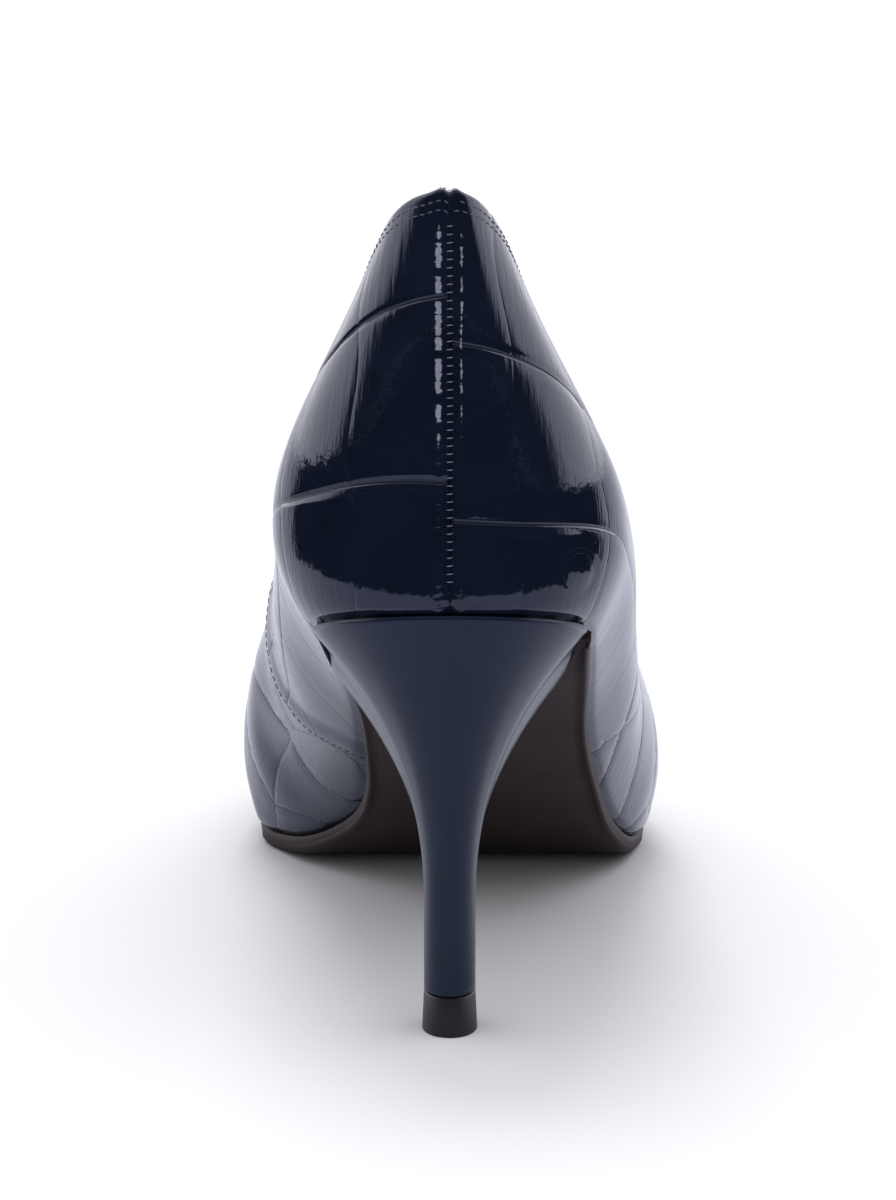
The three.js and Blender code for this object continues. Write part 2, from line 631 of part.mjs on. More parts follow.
function heelGeometry() {
  const half = (sign) => Array.from({ length: RIM_STEPS + 1 }, (_, k) => {
    const rim = rimPoint(k, sign);
    const top = bottomPoint(rim.x, rim.y, rimHeight(k));
    const angle = mix(-Math.PI / 2, Math.PI / 2, k / RIM_STEPS);
    const foot = tipOutline(angle);
    foot.x *= sign;
    const spread = mix(flareBack, flareSide, clamp01(k / rimBack));
    return { top, foot, spread };
  });
  const inner = half(-1);
  const outer = half(1);
  const floor = topPieceHeight + sheetGap;
  const level = ({ top, foot, spread }, t) => {
    const z = mix(floor, top.z, t);
    const open = clamp01((z - flareStart) / (top.z - flareStart)) ** spread;
    return vec(mix(foot.x, top.x, open), mix(foot.y, top.y, open), z);
  };
  const { quad, geometry } = faceList();
  for (const [ring, flip] of [[inner, false], [outer, true]]) {
    for (let k = 0; k < RIM_STEPS; k++) {
      const [here, next] = [ring[k], ring[k + 1]];
      for (let n = 0; n < HEEL_LEVELS; n++) {
        const [t0, t1] = [n / HEEL_LEVELS, (n + 1) / HEEL_LEVELS];
        const corners = [level(here, t0), level(here, t1), level(next, t1), level(next, t0)];
        quad(...(flip ? corners.reverse() : corners));
      }
    }
  }
  for (let k = 0; k < RIM_STEPS; k++) {
    quad(inner[k].top, outer[k].top, outer[k + 1].top, inner[k + 1].top);
    const feet = [inner[k], inner[k + 1], outer[k + 1], outer[k]].map((c) => level(c, 0));
    quad(...feet);
  }
  return geometry();
}

function upright(y, low, high, radius, segments = 16) {
  return new THREE.CylinderGeometry(radius, radius, high - low, segments)
    .rotateX(Math.PI / 2).translate(0, y, (low + high) / 2);
}

function topPieceGeometry() {
  const sides = 28;
  const ring = (grow, z) => Array.from({ length: sides }, (_, i) => {
    const turn = (2 * Math.PI * i) / sides;
    const foot = tipOutline(Math.atan2(Math.sin(turn), Math.abs(Math.cos(turn))), grow);
    return vec(foot.x * Math.sign(Math.cos(turn) || 1), foot.y, z);
  });
  const low = ring(topPieceFlare, 0);
  const high = ring(0, topPieceHeight);
  const [lowMiddle, highMiddle] = [vec(0, tipY, 0), vec(0, tipY, topPieceHeight)];
  const { quad, geometry } = faceList();
  for (let i = 0; i < sides; i++) {
    const j = (i + 1) % sides;
    quad(low[i], low[j], high[j], high[i]);
    quad(lowMiddle, low[j], low[i], lowMiddle);
    quad(highMiddle, high[i], high[j], highMiddle);
  }
  return geometry();
}

function addHeel() {
  const stemFloor = topPieceHeight + sheetGap;
  const tubeLow = stemFloor + tubeRecess;
  const tubeHigh = tubeLow + tubeLength;
  const bore = upright(tipY, 0, tubeHigh + sheetGap, tubeRadius + boreClearance);
  const sockets = fasteners.map(({ x, y, radius, length }) =>
    boltGeometry(x, y, backpartHigh - length - sheetGap, sheetGap, radius + shaftClearance));
  addMesh('heel_block', cutBy(heelGeometry(), [bore, ...sockets]), 'lacquer');

  addMesh('heel_tube', cutBy(upright(tipY, tubeLow, tubeHigh, tubeRadius),
    [upright(tipY, tubeLow - 1, tubeHigh + 1, tubeRadius - tubeWall)]), 'steel');

  const pinLow = topPieceHeight - pinInTopPiece;
  addMesh('top_piece', cutBy(topPieceGeometry(),
    [upright(tipY, pinLow - boreClearance, topPieceHeight + 1, pinRadius + boreClearance)]), 'rubber');
  addMesh('top_piece_pin', upright(tipY, pinLow, pinLow + pinLength, pinRadius), 'steel');

  fasteners.forEach(addFastener);
}

// ---------------------------------------------------------------- stitching
// A thread laid along a list of points on the leather, as a bent rod of square section that faces the way
// the leather does.
function threadGeometry(points, normals, closed) {
  const count = points.length;
  const grid = points.map((point, i) => {
    const next = points[closed ? (i + 1) % count : Math.min(i + 1, count - 1)];
    const last = points[closed ? (i + count - 1) % count : Math.max(i - 1, 0)];
    const along = next.clone().sub(last).normalize();
    const across = normals[i].clone().cross(along).normalize().multiplyScalar(threadRadius);
    const up = normals[i].clone().multiplyScalar(2 * threadRadius);
    return [-1, 1].map((s) => {
      const low = point.clone().addScaledVector(across, s);
      return { low, high: low.clone().add(up) };
    });
  });
  return blockGeometry(grid, closed);
}

function leatherPoint(u, r) {
  const point = skinPoint(u, r, -sheetGap);
  return { point, normal: point.clone().sub(skinPoint(u, r, 0)).normalize() };
}

// Height on the wall that lies a distance below the topline.
function heightBelowTop(u, distance) {
  let r = 1;
  while (wallPoint(u, r).distanceTo(wallPoint(u, 1)) < distance) r -= 0.002;
  return r;
}

function addThread(name, spots, closed = false) {
  addMesh(name, threadGeometry(spots.map((s) => s.point), spots.map((s) => s.normal), closed), 'thread');
}

function addStitching() {
  for (const [name, drop] of Object.entries(toplineRows)) {
    addThread(name, allColumns.slice(0, -1).map((u) => leatherPoint(u, heightBelowTop(u, drop))), true);
  }
  const seamFoot = 0.04;
  const rowsFoot = toplineRows.topline_stitching_lower + seamRowStart;
  const seamTop = heightBelowTop(0, rowsFoot);
  const crossings = Math.round((backHeight * (seamTop - seamFoot)) / stitchPitch);
  addThread('back_seam_stitching', Array.from({ length: crossings + 1 }, (_, i) => {
    const r = mix(seamFoot, seamTop, i / crossings);
    return leatherPoint(stepFor(0, r, seamStitchHalf) * (i % 2 ? 1 : -1), r);
  }));

  const steps = 2 * WALL_STEPS;
  const rise = heightBelowTop(archSeam, rowsFoot);
  addThread('arch_seam_stitching', Array.from({ length: steps + 1 }, (_, i) => {
    const r = mix(seamFoot, rise, i / steps);
    return leatherPoint(archSeam - stepFor(archSeam, r, lapStitchInset), r);
  }));
}

addUpper();
addStiffeners();
addLinings();
addBottom();
addHeel();
addStitching();

model.position.y = -tipY; // the origin is the middle of the face that the heel stands on
export default model;
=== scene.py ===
import math

import bmesh
import bpy
import numpy as np
from mathutils import Matrix, Vector, kdtree
from mathutils.bvhtree import BVHTree


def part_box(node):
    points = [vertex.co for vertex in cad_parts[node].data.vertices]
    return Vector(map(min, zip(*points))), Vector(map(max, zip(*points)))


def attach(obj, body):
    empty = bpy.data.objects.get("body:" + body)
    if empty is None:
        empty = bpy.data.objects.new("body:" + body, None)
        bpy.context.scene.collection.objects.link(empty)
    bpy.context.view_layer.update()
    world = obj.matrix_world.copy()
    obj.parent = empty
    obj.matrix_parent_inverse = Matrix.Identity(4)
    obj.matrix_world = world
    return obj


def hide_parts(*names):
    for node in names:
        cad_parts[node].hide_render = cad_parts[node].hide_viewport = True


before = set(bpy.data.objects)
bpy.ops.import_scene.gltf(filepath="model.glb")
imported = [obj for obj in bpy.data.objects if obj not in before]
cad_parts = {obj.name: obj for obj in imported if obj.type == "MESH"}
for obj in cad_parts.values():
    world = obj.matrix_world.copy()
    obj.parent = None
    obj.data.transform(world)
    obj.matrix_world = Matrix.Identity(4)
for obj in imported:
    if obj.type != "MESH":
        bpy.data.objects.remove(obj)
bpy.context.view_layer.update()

MM = 0.001

# ------------------------------------------------------------------ outer leather
# Two pieces of patent leather embossed with large reptile scales: the inner quarter, and the vamp with
# the outer quarter in one. Each is skived thin at its edges, folded over a tape at the topline, and
# pulled down over a last. The quarter laps over the vamp in the arch.
# Sizes are in mm. Sides are -1 for the inner side of the foot and 1 for the outer one.
SCALE_HEIGHT = 30.0  # from one groove along the shoe to the next
SCALE_WIDTH = 21.0
GROOVE_HALF = 0.7  # half the width of a pressed groove
GROOVE_DEPTH = 0.30
PILLOW = 0.09  # how far the middle of a scale stands above its edge
PILLOW_EDGE = 3.0  # and how far from the edge it has mostly risen
BACK_PART = (42, 66)  # from the heel, where rows of scales give way to loose cells
SMALL_SCALE = (25.0, 12.0, 4.6, 3.0)  # a small oval scale on the outer side: its middle and its half sizes
SEAM_RIDGE = {-1: 0.30, 1: 0.22}  # height of the leather pushed up beside the sewn back seam
RIDGE_AT = 1.7  # from the seam to the crest
RIDGE_WIDTH = {-1: 0.55, 1: 0.42}
SEAM_DIP = 0.30  # how far the seam itself is drawn in
SEAM_DIP_WIDTH = 0.7
SEAM_PITCH = 1.35  # from one bar of thread across the back seam to the next
SEAM_TURN = (0.5, 1.3)  # how far the edges turn in where they meet there
RIDGE_END = (64, 70)  # above the foot, where the ridges fade out under the topline
BULGE = 0.9  # how far the counter holds the leather out above the heel
BULGE_FROM = 10.5  # above the foot, where it is widest
BULGE_END = 45
BULGE_ROUND = (35, 60)  # round the shoe from the back seam, where it fades
PEAK_WIDTH = 2.0  # half the width of the small peak at the back that is taken off the topline
PEAK_DROP = 0.9
TOP_BLEND = 8  # below the topline, how far down the leather follows when its edge is lowered
FOLD_RADIUS = 1.1  # of the topline, where the leather turns over the tape
FOLD_STEPS = 7
FOLD_FLAP = ((-0.8, -2.2), (-1.8, -2.2))  # down from the edge and inward: the turned edge inside
FOLD_DROP = 0.95  # the edge is lowered by this, so that the fold ends at the topline
FOOT_TURN = ((0.5, -0.2), (0.9, -1.0), (1.1, -4.0))  # onward and outward: the margin under the foot
LEATHER = 0.85  # thickness
LAP = ((0.8, 0.0), (1.36, -0.03), (1.6, -0.16))  # onward and outward: the quarter's edge over the vamp
LAP_RISE = 0.75  # how far the quarter is lifted by the vamp under it
LAP_BLEND = 7
TOPLINE_ROWS = (1.3, 2.9)  # below the edge, for the two rows of stitching
ARCH_ROW = 1.5


def merged_copy(node):
    """A bmesh of a CAD node with its shared corners merged and its triangles joined back into quads."""
    bm = bmesh.new()
    bm.from_mesh(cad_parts[node].data)
    bmesh.ops.remove_doubles(bm, verts=bm.verts, dist=2e-6)
    bmesh.ops.join_triangles(
        bm,
        faces=bm.faces,
        angle_face_threshold=math.pi,
        angle_shape_threshold=math.pi,
        topology_influence=2.0,
    )
    bm.normal_update()
    return bm


def keep_side(bm, start, sharp=math.radians(55)):
    """Keeps the smooth side of a closed block that holds the face nearest to a point."""
    bm.faces.ensure_lookup_table()
    todo = [min(bm.faces, key=lambda face: (face.calc_center_median() - start).length)]
    side = set(todo)
    while todo:
        for edge in todo.pop().edges:
            if edge.calc_face_angle(math.pi) < sharp:
                fresh = [face for face in edge.link_faces if face not in side]
                side.update(fresh)
                todo += fresh
    bmesh.ops.delete(bm, geom=[face for face in bm.faces if face not in side], context="FACES")


def border_runs(bm):
    """The runs of border edges of a four-sided sheet, from corner to corner, as lists of vertices."""
    corners = [v for v in bm.verts if len(v.link_edges) == 2]
    runs, used = [], set()
    for corner in corners:
        for edge in corner.link_edges:
            if edge in used:
                continue
            run, here = [corner], corner
            while True:
                used.add(edge)
                here = edge.other_vert(here)
                run.append(here)
                if here in corners:
                    break
                edge = next(e for e in here.link_edges if e.is_boundary and e not in used)
            runs.append(run)
    return runs


def mean(run):
    """The middle of a run of vertices."""
    return sum((v.co for v in run), Vector()) / len(run)


def named_runs(bm):
    """The four borders of a piece of the upper: topline, foot, and its seams at the back and in the arch."""
    runs = sorted(border_runs(bm), key=len)
    back, arch = sorted(runs[:2], key=lambda run: mean(run).y)
    foot, top = sorted(runs[2:], key=lambda run: mean(run).z)
    return {"back": back, "arch": arch, "foot": foot, "top": top}


def mesh_object(bm, name):
    """An object with the bmesh as its mesh."""
    mesh = bpy.data.meshes.new(name)
    bm.to_mesh(mesh)
    bm.free()
    made = bpy.data.objects.new(name, mesh)
    bpy.context.scene.collection.objects.link(made)
    return made


def points_of(mesh):
    """The corners of a mesh, as rows of an array."""
    flat = np.empty(len(mesh.vertices) * 3, np.float32)
    mesh.vertices.foreach_get("co", flat)
    return flat.reshape(-1, 3).astype(float)


def evaluated_mesh(made):
    """A copy of an object's mesh as its modifiers leave it."""
    bpy.context.view_layer.update()
    scene_now = bpy.context.evaluated_depsgraph_get()
    return bpy.data.meshes.new_from_object(
        made.evaluated_get(scene_now), preserve_all_data_layers=True, depsgraph=scene_now
    )


def subdivide_through(bm, levels, name="smooth"):
    """Subdivides a sheet smoothly. Its corners are first moved out, so that the smooth surface goes
    through where they were."""
    made = mesh_object(bm, name)
    target = points_of(made.data)
    smooth = made.modifiers.new("smooth", "SUBSURF")
    smooth.uv_smooth = "PRESERVE_BOUNDARIES"
    smooth.levels = smooth.render_levels = 1
    cage = target.copy()
    for _ in range(4):
        trial = evaluated_mesh(made)
        cage += target - points_of(trial)[: len(target)]
        made.data.vertices.foreach_set("co", cage.astype(np.float32).ravel())
        made.data.update()
        bpy.data.meshes.remove(trial)
    smooth.levels = smooth.render_levels = levels
    dense = evaluated_mesh(made)
    bpy.data.objects.remove(made)
    result = bmesh.new()
    result.from_mesh(dense)
    result.normal_update()
    return result


def lay_pattern(bm, side):
    """Gives each point of a sheet of the upper its place on the cut leather, in mm, in a UV map: u runs
    round the shoe from the back seam, below nought on the inner side, and v up from the foot."""
    runs = named_runs(bm)
    column = runs["back"]
    if column[0].co.z > column[-1].co.z:
        column = column[::-1]
    place, round_shoe = {}, [0.0] * len(column)
    seen = set()
    while column:
        seen.update(column)
        up = 0.0
        for k, v in enumerate(column):
            if k:
                up += (v.co - column[k - 1].co).length / MM
            place[v] = (side * round_shoe[k], up)
        onward = []
        for v in column:
            fresh = (e.other_vert(v) for e in v.link_edges if e.other_vert(v) not in seen)
            onward.append(next(fresh, None))
        if None in onward:
            break
        round_shoe = [s + (a.co - b.co).length / MM for s, a, b in zip(round_shoe, column, onward)]
        column = onward
    uv = bm.loops.layers.uv.new("pattern")
    for face in bm.faces:
        for loop in face.loops:
            loop[uv].uv = place[loop.vert]


def upper_sheet(node, start, side, levels):
    """The outer face of one piece of the upper, without the margin that is hidden under the insole."""
    bm = merged_copy(node)
    keep_side(bm, start)
    foot = set(named_runs(bm)["foot"])
    margin = [face for face in bm.faces if sum(v in foot for v in face.verts) > 1]
    bmesh.ops.delete(bm, geom=margin, context="FACES")
    lay_pattern(bm, side)
    return subdivide_through(bm, levels, node)


def smoothstep(low, high, value):
    """Rises smoothly from 0 at low to 1 at high."""
    t = np.clip((value - low) / (high - low), 0, 1)
    return t * t * (3 - 2 * t)


def near_run(run, points):
    """Distance in mm of each point from a border, and the border vertex nearest to it."""
    tree = kdtree.KDTree(len(run))
    for k, v in enumerate(run):
        tree.insert(v.co, k)
    tree.balance()
    found = [tree.find(point) for point in points]
    return np.array([f[2] for f in found]) / MM, [f[1] for f in found]


def add_node(tree, kind, inputs=(), **settings):
    """Adds a node. Each input is a value, or the output of another node that is linked to it."""
    made = tree.nodes.new("ShaderNode" + kind)
    for name, value in settings.items():
        setattr(made, name, value)
    for key, value in dict(inputs).items():
        if isinstance(value, bpy.types.NodeSocket):
            tree.links.new(value, made.inputs[key])
        else:
            made.inputs[key].default_value = value
    return made


def scale_cells(tree, position):
    """Nodes for the irregular scales of the forepart, about 25 mm across and bent by up to 16 mm. Gives the
    distance in mm from a scale's edge."""
    warp = add_node(tree, "TexNoise", {"Vector": position, "Scale": 1 / (45 * MM), "Detail": 1.0})
    bent = add_node(tree, "VectorMath", {0: warp.outputs["Color"], 1: (0.016, 0.016, 0.016), 2: position},
                    operation="MULTIPLY_ADD")
    spread = add_node(tree, "VectorMath", {0: bent.outputs[0], 1: (1 / 0.024, 1 / 0.027, 1 / 0.024)},
                      operation="MULTIPLY")
    cells = add_node(tree, "TexVoronoi", {"Vector": spread.outputs[0], "Scale": 1.0, "Randomness": 0.55},
                     feature="DISTANCE_TO_EDGE")
    return add_node(tree, "Math", {0: cells.outputs["Distance"], 1: 25.0}, operation="MULTIPLY").outputs[0]


def cell_distance(bm):
    """The distance that scale_cells gives, at each vertex of a sheet."""
    tree = bpy.data.node_groups.new("scale_cells", "GeometryNodeTree")
    tree.interface.new_socket("Geometry", in_out="INPUT", socket_type="NodeSocketGeometry")
    tree.interface.new_socket("Geometry", in_out="OUTPUT", socket_type="NodeSocketGeometry")
    start = tree.nodes.new("NodeGroupInput")
    position = tree.nodes.new("GeometryNodeInputPosition")
    store = tree.nodes.new("GeometryNodeStoreNamedAttribute")
    store.inputs["Name"].default_value = "cell"
    end = tree.nodes.new("NodeGroupOutput")
    tree.links.new(start.outputs[0], store.inputs["Geometry"])
    tree.links.new(scale_cells(tree, position.outputs[0]), store.inputs["Value"])
    tree.links.new(store.outputs["Geometry"], end.inputs[0])
    made = mesh_object(bm.copy(), "cells")
    made.modifiers.new("cells", "NODES").node_group = tree
    mesh = evaluated_mesh(made)
    distance = np.empty(len(mesh.vertices), np.float32)
    mesh.attributes["cell"].data.foreach_get("value", distance)
    bpy.data.objects.remove(made)
    return distance.astype(float)


def emboss(bm, rows_from, row_height, columns_from, fall, curve):
    """Presses the reptile scales into a sheet, and pushes up the leather beside the back seam. A second UV
    map and an attribute for each kind of groove let the material draw the grooves finer. The rows start at
    rows_from and the columns at columns_from. Fall and curve bring the rows down towards the toe."""
    uv = bm.loops.layers.uv["pattern"]
    place = np.array([v.link_loops[0][uv].uv[:] for v in bm.verts])
    at = np.array([v.co[:] for v in bm.verts]) / MM
    round_shoe = np.abs(place[:, 0])
    height = place[:, 1]
    # The rows run nearly level low down, and fall more the higher they are, with a slight wobble.
    slope = np.clip(fall * (height - 25) / 31, -0.05, 1)
    bend = curve * smoothstep(20, 45, height)
    wobble = 0.5 * np.sin(place[:, 0] / 7.0)
    level = height + slope * round_shoe + bend * round_shoe**2 + wobble
    rows = (level - rows_from) / row_height
    columns = (place[:, 0] - columns_from) / SCALE_WIDTH + 0.02 * (level - rows_from) / 10
    lean = 0.04 * np.sin(level / 5.0 + 1.3)
    across = np.abs(rows - np.round(rows)) * row_height
    along = np.abs(columns + lean - np.round(columns + lean)) * SCALE_WIDTH
    middle_u, middle_v, half_u, half_v = SMALL_SCALE
    ring = np.hypot((place[:, 0] - middle_u) / half_u, (height - middle_v) / half_v)
    ring = np.abs(ring - 1) * half_v
    cell = cell_distance(bm)
    # How deep each kind of groove is pressed. The quarter has rows all over, and no loose cells.
    side = -1 if place[:, 0].min() < -1 else 1
    rear = np.ones(len(at)) if side == -1 else 1 - smoothstep(*BACK_PART, at[:, 1])
    upper = smoothstep(8, 20, height)
    strength = {
        "row": rear * (0.5 + 0.5 * upper) * (1 - 0.55 * smoothstep(*BACK_PART, round_shoe)),
        "column": rear * (0.22 - 0.12 * smoothstep(30, 75, round_shoe)),
        "cell": (1 - rear) * 0.6,
        "ring": np.full(len(at), 0.5),
    }
    groove = np.zeros(len(at))
    pillow = np.zeros(len(at))
    for distance, part in ((across, "row"), (along, "column"), (cell, "cell"), (ring, "ring")):
        groove = np.maximum(groove, strength[part] * np.exp(-((distance / GROOVE_HALF) ** 2)))
        pillow = np.maximum(pillow, strength[part] * np.exp(-distance / PILLOW_EDGE))
    # The ridges beside the back seam puff up between its stitches, and unevenly along it.
    puff = 0.68 + 0.2 * np.sin(height * math.tau / SEAM_PITCH) + 0.22 * np.sin(height / 2.3 + 2 * side)
    ridge = puff * SEAM_RIDGE[side] * np.exp(-(((round_shoe - RIDGE_AT) / RIDGE_WIDTH[side]) ** 2))
    ridge -= SEAM_DIP * np.exp(-((round_shoe / SEAM_DIP_WIDTH) ** 2))
    ridge *= 1 - smoothstep(*RIDGE_END, height)
    bulge = smoothstep(0, BULGE_FROM, height) * (1 - smoothstep(BULGE_FROM, BULGE_END, height))
    bulge *= 1 - smoothstep(*BULGE_ROUND, round_shoe)
    lift = -GROOVE_DEPTH * groove - PILLOW * pillow + ridge + BULGE * bulge
    layers = {key: bm.verts.layers.float.new(key) for key in strength}
    scales = bm.loops.layers.uv.new("scales")
    bm.verts.ensure_lookup_table()
    for k, v in enumerate(bm.verts):
        for key, layer in layers.items():
            v[layer] = strength[key][k]
        for loop in v.link_loops:
            loop[scales].uv = (columns[k] + lean[k], rows[k])
    for v, push in zip(bm.verts, lift):
        v.co += v.normal * (push * MM)
    bm.normal_update()


sheets = {
    "medial_quarter": upper_sheet("medial_quarter", Vector((-0.03, 0.03, 0.11)), -1, 4),
    "vamp": upper_sheet("vamp", Vector((0.03, 0.03, 0.11)), 1, 3),
}
emboss(sheets["medial_quarter"], rows_from=25.0, row_height=31.5, columns_from=-17.0,
       fall=0.22, curve=0.0012)
emboss(sheets["vamp"], rows_from=18.4, row_height=30.2, columns_from=12.0,
       fall=0.12, curve=0.004)


directions = {}  # of the vertices of the border at hand, as set_directions gives them


def extrude_run(bm, run, steps):
    """Carries a border on in steps. Each step gives, for a border vertex, its move from where it began."""
    start = {v: v.co.copy() for v in run}
    for step in steps:
        run_set = set(run)
        edges = [e for v in run for e in v.link_edges if e.is_boundary and e.other_vert(v) in run_set]
        made = bmesh.ops.extrude_edge_only(bm, edges=list(set(edges)))["geom"]
        fresh = {v for v in made if isinstance(v, bmesh.types.BMVert)}
        onward = {}
        for v in run:
            onward[v] = next(e.other_vert(v) for e in v.link_edges if e.other_vert(v) in fresh)
        for v, new in onward.items():
            new.co = start[v] + step(v)
        start = {onward[v]: start[v] for v in run}
        directions.update({onward[v]: directions[v] for v in run})
        run = [onward[v] for v in run]
    return run


def set_directions(run):
    """For each border vertex: onward, out of the sheet in its own plane, and outward, square to it."""
    directions.clear()
    run_set = set(run)
    for v in run:
        inner = [e.other_vert(v) for e in v.link_edges if not e.is_boundary]
        inner = [other for other in inner if other not in run_set]
        directions[v] = ((v.co - inner[0].co).normalized() if inner else None, v.normal.copy())
    for k, v in enumerate(run):
        if directions[v][0] is None:
            beside = run[1] if k == 0 else run[-2]
            directions[v] = directions[beside]


def moves_of(pairs):
    """Steps for extrude_run, from pairs of mm: onward from the border, and outward from the sheet."""
    return [
        lambda v, on=on, out=out: directions[v][0] * (on * MM) + directions[v][1] * (out * MM)
        for on, out in pairs
    ]


def steps_down(run, drops):
    """Walks down from a border along the mesh, and gives the points at some distances from it."""
    rows = {drop: [] for drop in drops}
    run_set = set(run)
    for v in run:
        inner = [e for e in v.link_edges if not e.is_boundary and e.other_vert(v) not in run_set]
        if not inner:
            continue
        edge, here, gone = inner[0], v, 0.0
        left = sorted(drops)
        while left:
            there = edge.other_vert(here)
            length = (there.co - here.co).length
            while left and gone + length >= left[0] * MM:
                t = (left[0] * MM - gone) / length
                normal = here.normal.lerp(there.normal, t).normalized()
                rows[left.pop(0)].append((here.co.lerp(there.co, t), normal))
            gone += length
            faces = set(edge.link_faces)
            edge = next((e for e in there.link_edges if not faces & set(e.link_faces)), None)
            here = there
            if edge is None:
                break
    return rows


def linear(code):
    """The linear colour of an sRGB hex value."""
    parts = [int(code[k : k + 2], 16) / 255 for k in (1, 3, 5)]
    return tuple(c / 12.92 if c <= 0.04045 else ((c + 0.055) / 1.055) ** 2.4 for c in parts) + (1.0,)


def start_material(name, **sockets):
    """A material, its node tree and its Principled shader, with values on the shader's sockets."""
    material = bpy.data.materials.new(name)
    material.use_nodes = True
    tree = material.node_tree
    shader = tree.nodes["Principled BSDF"]
    for key, value in sockets.items():
        shader.inputs[key.replace("_", " ")].default_value = value
    return material, tree, shader


